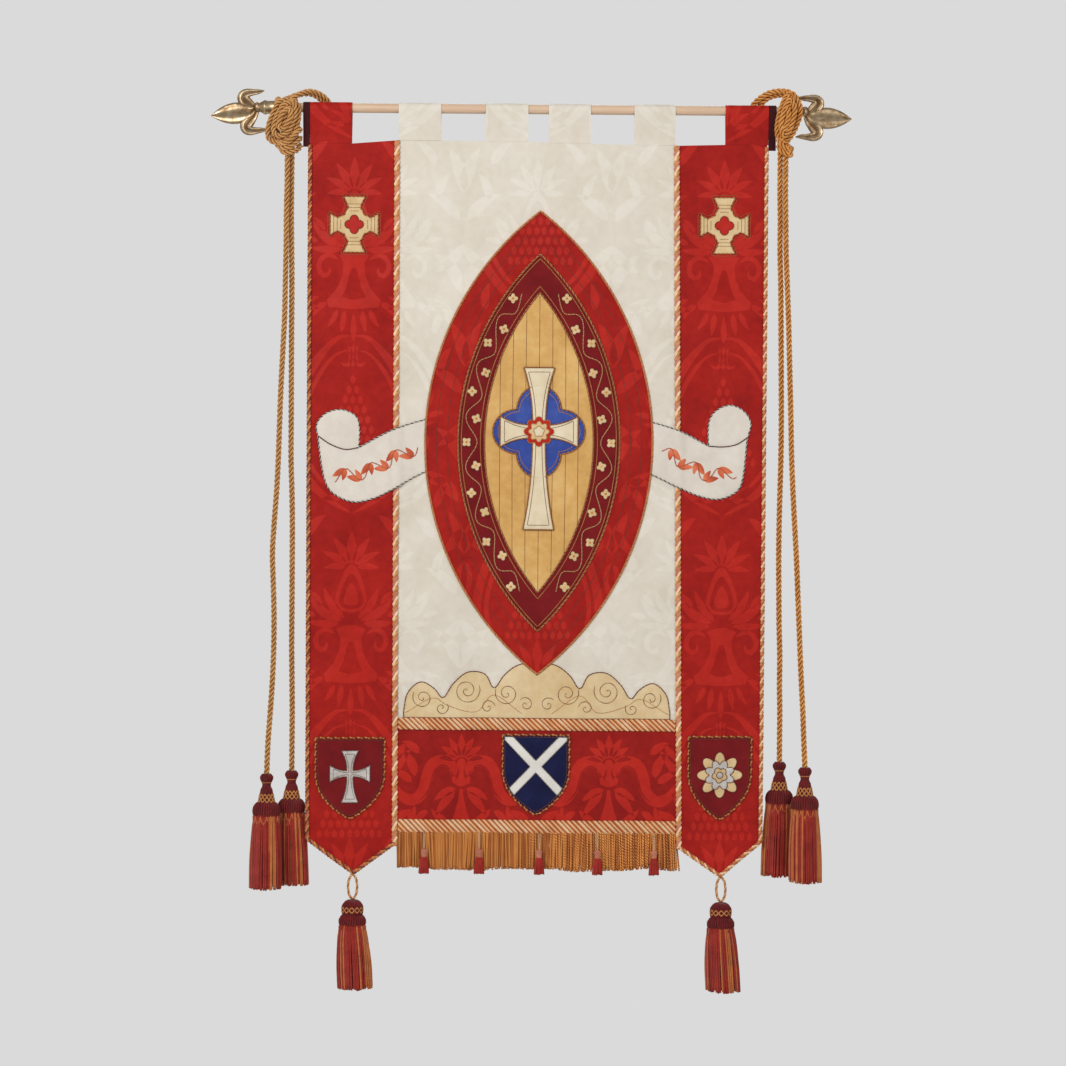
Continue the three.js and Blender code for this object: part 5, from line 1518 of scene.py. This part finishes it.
# Scrolled foot under the oval
SCROLL_TOP = [
    (-266, -1204), (-258, -1168), (-232, -1146), (-204, -1160), (-188, -1178), (-168, -1150), (-138, -1126),
    (-104, -1130), (-86, -1158), (-66, -1132), (-40, -1112), (0, -1104),
]
SCROLL_FOOT = -1217.7
SPIRALS = [(-228, -1178, 21, 1.6, 2.6, 1), (-140, -1163, 27, 1.9, 0.4, -1),
           (-60, -1168, 24, 1.7, 2.8, 1), (-190, -1198, 14, 1.3, 0.6, -1), (-98, -1196, 15, 1.3, 0.2, 1),
           (-22, -1190, 15, 1.3, 2.4, -1)]
STEM = [(-262, -1208), (-205, -1178), (-180, -1192), (-120, -1205), (-88, -1172), (-30, -1208)]
half_top = spline(SCROLL_TOP, 7)
other_top = (half_top * (-1, 1))[-2::-1]
outline = np.vstack([half_top, other_top]) + (OVAL["x"], 0)
outline = np.vstack([outline, [(OVAL["x"] + 266, SCROLL_FOOT), (OVAL["x"] - 266, SCROLL_FOOT)]])
shape = Shape()
loops = slab(shape, [outline], FIRST, SKIN_THICK, 8.0, puff=3.0, cut=[ovals(-2.5)])
couch(shape, loops, FIRST + 1.1, 1.3, (1,))
for side in (-1, 1):
    for x, z, radius, turns, start, hand in SPIRALS:
        line = spiral(x, z, radius, turns, start, hand) * (side, 1) + (OVAL["x"], 0)
        couch(shape, [line], FIRST + SKIN_THICK + 0.2, 1.1, (1, 2), closed=False, pitch=6)
    stem = spline(STEM, 5)
    couch(shape, [stem * (side, 1) + (OVAL["x"], 0)], FIRST + SKIN_THICK, 0.9, (2,), closed=False)
applied(shape, "foot_scrolls", [MOUND_GOLD, BROWN_YARN, GOLD_YARN], "gold_cloth")

# Ribbons across the seams, with a curled end
RIBBONS = {
    "left": {
        "seam": "seam_left",
        "middle": [(-238, -678), (-290, -702), (-345, -729), (-404, -737)],
        "outline": [
            (-150, -612), (-205, -618), (-290, -644), (-356, -679), (-355, -640), (-361, -618),
            (-378, -607),
            (-398, -604), (-424, -613), (-440, -633), (-438, -656), (-418, -757), (-395, -778),
            (-363, -788),
            (-325, -780), (-289, -763), (-218, -725), (-150, -712),
        ],
        "curl": [
            (-356, -679), (-355, -640), (-361, -618), (-378, -607), (-398, -604), (-424, -613),
            (-440, -633),
            (-438, -656), (-412, -673), (-382, -683),
        ],
    },
    "right": {
        "seam": "seam_right",
        "middle": [(250, -682), (290, -702), (342, -728), (398, -722)],
        "outline": [
            (150, -708), (205, -719), (288, -756), (325, -771), (361, -777), (390, -768), (407, -752),
            (421, -653), (427, -624), (412, -600), (387, -589), (364, -596), (347, -613), (342, -640),
            (343, -671), (282, -640), (186, -613), (150, -606),
        ],
        "curl": [
            (343, -671), (342, -640), (347, -613), (364, -596), (387, -589), (412, -600), (427, -624),
            (421, -653), (399, -667), (372, -672),
        ],
    },
}
BRAID_RISE = 5.2
VINE_SWING = 13
VINE_WAVE = 56
VINE_LEAF = 31


def over_seam(seam):
    """Places on the cloth that rise over the seam braid."""
    def place(flat, depth):
        flat = np.asarray(flat, float)
        off = (flat[:, 0] - line_at(seam, flat[:, 1])) / 13
        return on_cloth(flat, np.asarray(depth) + BRAID_RISE * np.exp(-(off**4)))
    return place


def soft_outline(points, sharp):
    """A closed outline that is smooth but for the corners that sharp names."""
    points = np.asarray(points, float)
    order = sorted(sharp)
    runs = []
    for a, b in zip(order, order[1:] + [order[0] + len(points)]):
        run = points[np.arange(a, b + 1) % len(points)]
        runs.append(spline(run, 5)[:-1] if len(run) > 2 else even_steps(run, 5)[:-1])
    return np.vstack(runs)


for name, ribbon in RIBBONS.items():
    place = over_seam(ribbon["seam"])
    corners = [0, 3, 17] if name == "left" else [0, 14, 17]
    outline = soft_outline(ribbon["outline"], corners)
    curl = soft_outline(ribbon["curl"], [0, 7])
    shape = Shape()
    loops = slab(shape, [outline], FIRST, SKIN_THICK, 6.0, puff=2.0, cut=[ovals(-1.5)], place=place)
    for loop in loops:
        off_oval = np.linalg.norm(loop[:, None] - ovals(-1.5)[None], axis=2).min(axis=1)
        line = loop[off_oval > 3.0]
        gap_after = int(np.argmax(np.linalg.norm(np.roll(line, -1, axis=0) - line, axis=1))) + 1
        line = np.roll(line, -gap_after, axis=0)
        couch(shape, [line], FIRST + 1.1, 1.9, (1, 2), closed=False, pitch=9.5, place=place)
    slab(shape, [curl], FIRST + SKIN_THICK + 0.2, SKIN_THICK, 6.0, puff=7.0, place=place)
    front_edge = spline(ribbon["curl"][7:] + ribbon["curl"][:1], 3)
    couch(shape, [front_edge], FIRST + SKIN_THICK + 1.2, 1.5, (1, 3), closed=False, pitch=11, place=place)
    middle = spline(ribbon["middle"], 1.0)
    way, across = sideways(middle)
    along = np.arange(len(middle))
    vine = middle + across * (VINE_SWING * np.sin(TAU * along / VINE_WAVE))[:, None]
    couch(shape, [vine], FIRST + SKIN_THICK + 0.4, 1.4, (4,), closed=False, place=place)
    for k in range(int(len(middle) / VINE_WAVE * 2)):
        at = int((k + 0.5) * VINE_WAVE / 2)
        hand = 1 if k % 2 == 0 else -1
        heading = math.degrees(math.atan2(way[at][0], way[at][1]))
        for spread, reach in ((25, VINE_LEAF), (70, 0.8 * VINE_LEAF)):
            foot = vine[at]
            petal = leaf(foot[0], -foot[1], reach, 0.42 * reach, heading + hand * spread) * (1, -1)
            slab(shape, [petal], FIRST + SKIN_THICK, 0.8, 4.0, kinds=4, puff=2.0, place=place)
    yarns = [IVORY_SILK, BLACK_YARN, WHITE_YARN, BROWN_YARN, ORANGE_YARN]
    applied(shape, "ribbon_" + name, yarns, "ivory_silk")

# Shields on the lower edge
SHIELDS = {
    "shield_left": {"x": -368.5, "width": 141, "top": -1258, "bottom": -1423, "cloth": MAROON_VELVET,
                    "slot": "maroon_velvet"},
    "shield_centre": {"x": 3, "width": 136, "top": -1249, "bottom": -1412, "cloth": NAVY_VELVET,
                      "slot": "navy_velvet"},
    "shield_right": {"x": 370.5, "width": 129, "top": -1250, "bottom": -1419, "cloth": MAROON_VELVET,
                     "slot": "maroon_velvet"},
}
for node, row in SHIELDS.items():
    size = [row[key] for key in ("x", "width", "top", "bottom")]
    shape = Shape()
    loops = slab(shape, [shield_outline(*size)], FIRST, SKIN_THICK * 1.2, 7.0, puff=3.0)
    couch(shape, [shield_outline(*size, 1.5)], FIRST + 1.8, 2.7, (1, 2), pitch=15)
    couch(shape, [shield_outline(*size, 6.0)], FIRST + 1.4, 1.0, (3,))
    applied(shape, node, [row["cloth"], GOLD_YARN, RUST_YARN, BROWN_YARN], row["slot"])

middle = SHIELDS["shield_centre"]
SALTIRE_ARM = 17
SALTIRE_AT = (3, -1314)
SALTIRE_REACH = (71, 74)
shape = Shape()
arms = []
for side in (-1, 1):
    start, end = [np.add(SALTIRE_AT, np.multiply(SALTIRE_REACH, (-side * up, up))) for up in (1.0, -1.0)]
    way = (end - start) / np.linalg.norm(end - start)
    across = np.array((-way[1], way[0])) * SALTIRE_ARM / 2
    arms.append(np.array([start + across, end + across, end - across, start - across]))
inside = [shield_outline(middle["x"], middle["width"], middle["top"], middle["bottom"], 5.0)]
loops = slab(shape, arms, SECOND, SKIN_THICK, 6.0, puff=2.0, union=True, within=inside)
couch(shape, loops, SECOND + 0.9, 1.2, (1,))
applied(shape, "saltire", [WHITE_SILK, GREY_YARN], "ivory_silk")

shape = Shape()
cross = flared_cross(SHIELDS["shield_left"]["x"], -1331, 40, 46, 58, 6, 17)
loops = slab(shape, [cross], SECOND, SKIN_THICK, 4.0, puff=3.0)
couch(shape, loops, SECOND + 0.9, 1.2, (1, 2))
inner = flared_cross(SHIELDS["shield_left"]["x"], -1331, 33, 39, 51, 2, 10)
couch(shape, [inner], SECOND + SKIN_THICK, 0.7, (2,))
applied(shape, "shield_left_cross", [SILVER_CLOTH, GREY_YARN, BROWN_YARN], "ivory_silk")

shape = Shape()
at = (SHIELDS["shield_right"]["x"], -1328)
PETALS = [
    {"radius": 46, "lobes": 8, "depth": 0.38, "kind": 0},
    {"radius": 31, "lobes": 8, "depth": 0.34, "kind": 1},
    {"radius": 16, "lobes": 5, "depth": 0.3, "kind": 0},
    {"radius": 6.5, "lobes": 1, "depth": 0, "kind": 1},
]
for layer, row in enumerate(PETALS):
    near = SECOND + 0.8 * layer
    petals = rosette(*at, row["radius"], row["lobes"], row["depth"], 80, layer * math.pi / 8)
    loops = slab(shape, [petals], near, 1.1, 4.0, kinds=row["kind"], puff=3.0)
    couch(shape, loops, near + 0.8, 1.1, (2,), step=1.8)
applied(shape, "shield_right_rosette", [GOLD_CLOTH, SILVER_CLOTH, BROWN_YARN], "gold_cloth")

# Gold ornaments at the head of the lappets
for name, x, z in (("left", -368.5, -233), ("right", 371.5, -230)):
    shape = Shape()
    outlines = [flared_cross(x, z, 48, 56, 56, 9, 22), rosette(x, z, 38, 4, 0.3, 60)]
    loops = slab(shape, outlines, FIRST, SKIN_THICK * 1.2, 4.0, puff=3.0, union=True)
    couch(shape, loops, FIRST + 1.2, 1.5, (1, 2), step=1.8)
    spread = [loop + 4.6 * outward(loop) for loop in loops]
    couch(shape, spread, FIRST + 0.4, 0.9, (3,), step=1.8)
    heart = rosette(x, z, 19, 4, 0.35, 48)
    slab(shape, [heart], FIRST + SKIN_THICK * 1.2, 1.0, 4.0, kinds=4, puff=3.0)
    couch(shape, [heart], FIRST + 2.0, 1.0, (2,), step=1.8)
    for way in range(4):
        turn = way * math.pi / 2
        for along in (27, 34, 41):
            across = 9 + (along - 27) * 0.5
            right, up = math.cos(turn), math.sin(turn)
            ends = [(along, -across), (along, across)]
            bar = [(x + a * right - b * up, z + a * up + b * right) for a, b in ends]
            couch(shape, [bar], FIRST + SKIN_THICK * 1.2, 0.7, (2,), closed=False)
    yarns = [GOLD_CLOTH, GOLD_YARN, BROWN_YARN, ROSE_YARN, RED_FIGURE]
    applied(shape, "lappet_ornament_" + name, yarns, "gold_cloth")


# Pole
low, high = box_mm("pole")
shape = Shape()
even = np.linspace(low[0] + 1.5, high[0] - 1.5, 60)
xs = np.concatenate([[low[0], low[0] + 0.6], even, [high[0] - 0.6, high[0]]])
radii = POLE_RADIUS * np.array([0.93, 0.98] + [1.0] * 60 + [0.98, 0.93])
path = np.stack([xs, 0 * xs, 0 * xs], axis=1)
round_cord(shape, path, radii, 48)
shape.piece("pole", [WOOD], "pole_wood", sharp=SHARP_RIM)

# Finials: a ribbed leaf between two recurved petals, on a beaded cup
LEAF = [(-4, 5, 5), (0, 6, 6), (10, 11, 7.5), (24, 18, 8.5), (38, 21.5, 8), (54, 20, 7), (70, 14.5, 5.5),
        (84, 6, 2.6), (91, 0.8, 0.8)]
CURL = [(-2, 3, 5, 5), (7, 10, 9, 6), (16, 18, 12, 8), (23, 26.5, 12.5, 9), (22, 34, 11, 8),
        (14, 38, 9, 6.5), (2, 38.5, 6.5, 5), (-10, 38.5, 4.5, 3.5), (-20, 39.5, 1, 1)]
CUP = [(10.3, -42), (14, -42), (14.6, -39.5), (14, -37), (13.2, -35), (13.2, -22), (14.4, -20),
       (14.6, -17.5), (13.4, -15), (11, -11), (9, -7), (10.4, -4.5), (10.8, -2), (9.6, 1), (7, 4),
       (2, 6.5)]


BLADE_POINTS = 15


def rib(share, ridge):
    """Height of a petal's face across it, from -1 to 1: a middle rib, a hollow and a rolled edge."""
    side = np.abs(share)
    return ridge * (0.42 * np.sqrt(np.maximum(0, 1 - side**2)) + 0.5 * np.exp(-((side / 0.2) ** 2))
                    + 0.2 * np.exp(-(((side - 0.8) / 0.14) ** 2)))


def blade(shape, line, halves, ridges, turn):
    """A petal: sections across a line in the plane of x and z. turn puts its points in place."""
    across = sideways(line)[1]
    there = np.cos(np.linspace(0, math.pi, BLADE_POINTS))
    back = np.cos(np.linspace(math.pi, TAU, BLADE_POINTS))[1:-1]
    share = np.concatenate([there, back])
    face = np.concatenate([-np.ones(len(there)), np.ones(len(back))]) * (np.abs(share) < 0.999)
    height = np.stack([rib(share, ridge) for ridge in ridges]) * face
    plane = line[:, None] + across[:, None] * (share[None, :, None] * halves[:, None, None])
    rings = np.stack([plane[..., 0], height, plane[..., 1]], axis=-1)
    skin(shape, turn(rings.reshape(-1, 3)).reshape(rings.shape))


FINIALS = {"left": (-1, -566.3, 6, 8), "right": (1, 533.3, 1.5, 12)}
SINK_WITHIN = 14
for name, (side, neck, droop, sink) in FINIALS.items():
    shape = Shape()
    lean = math.radians(droop)

    def flower(points):
        out = np.clip(np.hypot(points[:, 0] + 2, points[:, 2]) / SINK_WITHIN, 0, 1)
        x = points[:, 0] * math.cos(lean) + points[:, 2] * math.sin(lean)
        z = -points[:, 0] * math.sin(lean) + points[:, 2] * math.cos(lean) - sink * out
        return np.stack([neck + side * x, side * points[:, 1], z], axis=1)

    rows = spline([(u, half, ridge) for u, half, ridge in LEAF], 2.5)
    blade(shape, np.stack([rows[:, 0], 0 * rows[:, 0]], axis=1), rows[:, 1], rows[:, 2], flower)
    for up in (1, -1):
        rows = spline(CURL, 2.5)
        blade(shape, rows[:, :2] * (1, up), rows[:, 2], rows[:, 3], flower)
    turn = side * TAU * np.arange(32) / 32
    rings = np.array([[(neck + side * u, r * math.cos(t), r * math.sin(t)) for t in turn] for r, u in CUP])
    skin(shape, rings)
    shape.piece("finial_" + name, [BRASS], "cast_brass", sharp=SHARP_BLADE)


# Each rope's piece and path, taken in turn
for rope, piece in rope_pieces.items():
    path = rope_paths[rope]


# Light, floor and backdrop

BACKDROP = (218, 218, 218)
AMBIENT = 0.62
world = bpy.data.worlds.new("studio")
bpy.context.scene.world = world
world.use_nodes = True
tree = world.node_tree
background = tree.nodes["Background"]
background.inputs["Color"].default_value = (*linear(BACKDROP), 1)
background.inputs["Strength"].default_value = AMBIENT
seen = add_node(tree, "Background", {"Color": (*linear(BACKDROP), 1), "Strength": 1.0})
path_kind = add_node(tree, "LightPath")
both = add_node(tree, "MixShader", {0: path_kind.outputs["Is Camera Ray"]})
tree.links.new(background.outputs[0], both.inputs[1])
tree.links.new(seen.outputs[0], both.inputs[2])
tree.links.new(both.outputs[0], tree.nodes["World Output"].inputs["Surface"])

LAMPS = [
    {"name": "key", "at": (-1.9, -3.6, 0.9), "aim": (0, 0, -0.75), "size": 1.6, "power": 95},
    {"name": "fill", "at": (2.4, -3.8, -0.2), "aim": (0, 0, -0.8), "size": 2.6, "power": 45},
    {"name": "back", "at": (0.6, 3.0, 1.2), "aim": (0, 0, -0.8), "size": 2.6, "power": 60},
]
for lamp in LAMPS:
    data = bpy.data.lights.new(lamp["name"], "AREA")
    data.energy = lamp["power"]
    data.size = lamp["size"]
    made = bpy.data.objects.new(lamp["name"], data)
    made.location = lamp["at"]
    made.rotation_euler = (Vector(lamp["aim"]) - Vector(lamp["at"])).to_track_quat("-Z", "Y").to_euler()
    bpy.context.scene.collection.objects.link(made)

FLOOR_Z = -2.3
floor_mesh = bpy.data.meshes.new("floor")
FLOOR_CORNERS = [(-2.5, -1.4), (2.5, -1.4), (2.5, 1.6), (-2.5, 1.6)]
floor_mesh.from_pydata([(x, y, FLOOR_Z) for x, y in FLOOR_CORNERS], [], [(0, 1, 2, 3)])
floor = bpy.data.objects.new("floor", floor_mesh)
bpy.context.scene.collection.objects.link(floor)
floor_finish, tree, shader = plain_shader("pale_floor", 0.9)
place = add_node(tree, "TexCoord").outputs["Object"]
tree.links.new(
    tones(tree, noise(tree, place, 6.0), [(206, 205, 203), (214, 213, 211)]), shader.inputs["Base Color"]
)
floor_mesh.materials.append(floor_finish)

bpy.context.scene.view_settings.view_transform = "Standard"
bpy.context.scene.view_settings.look = "None"
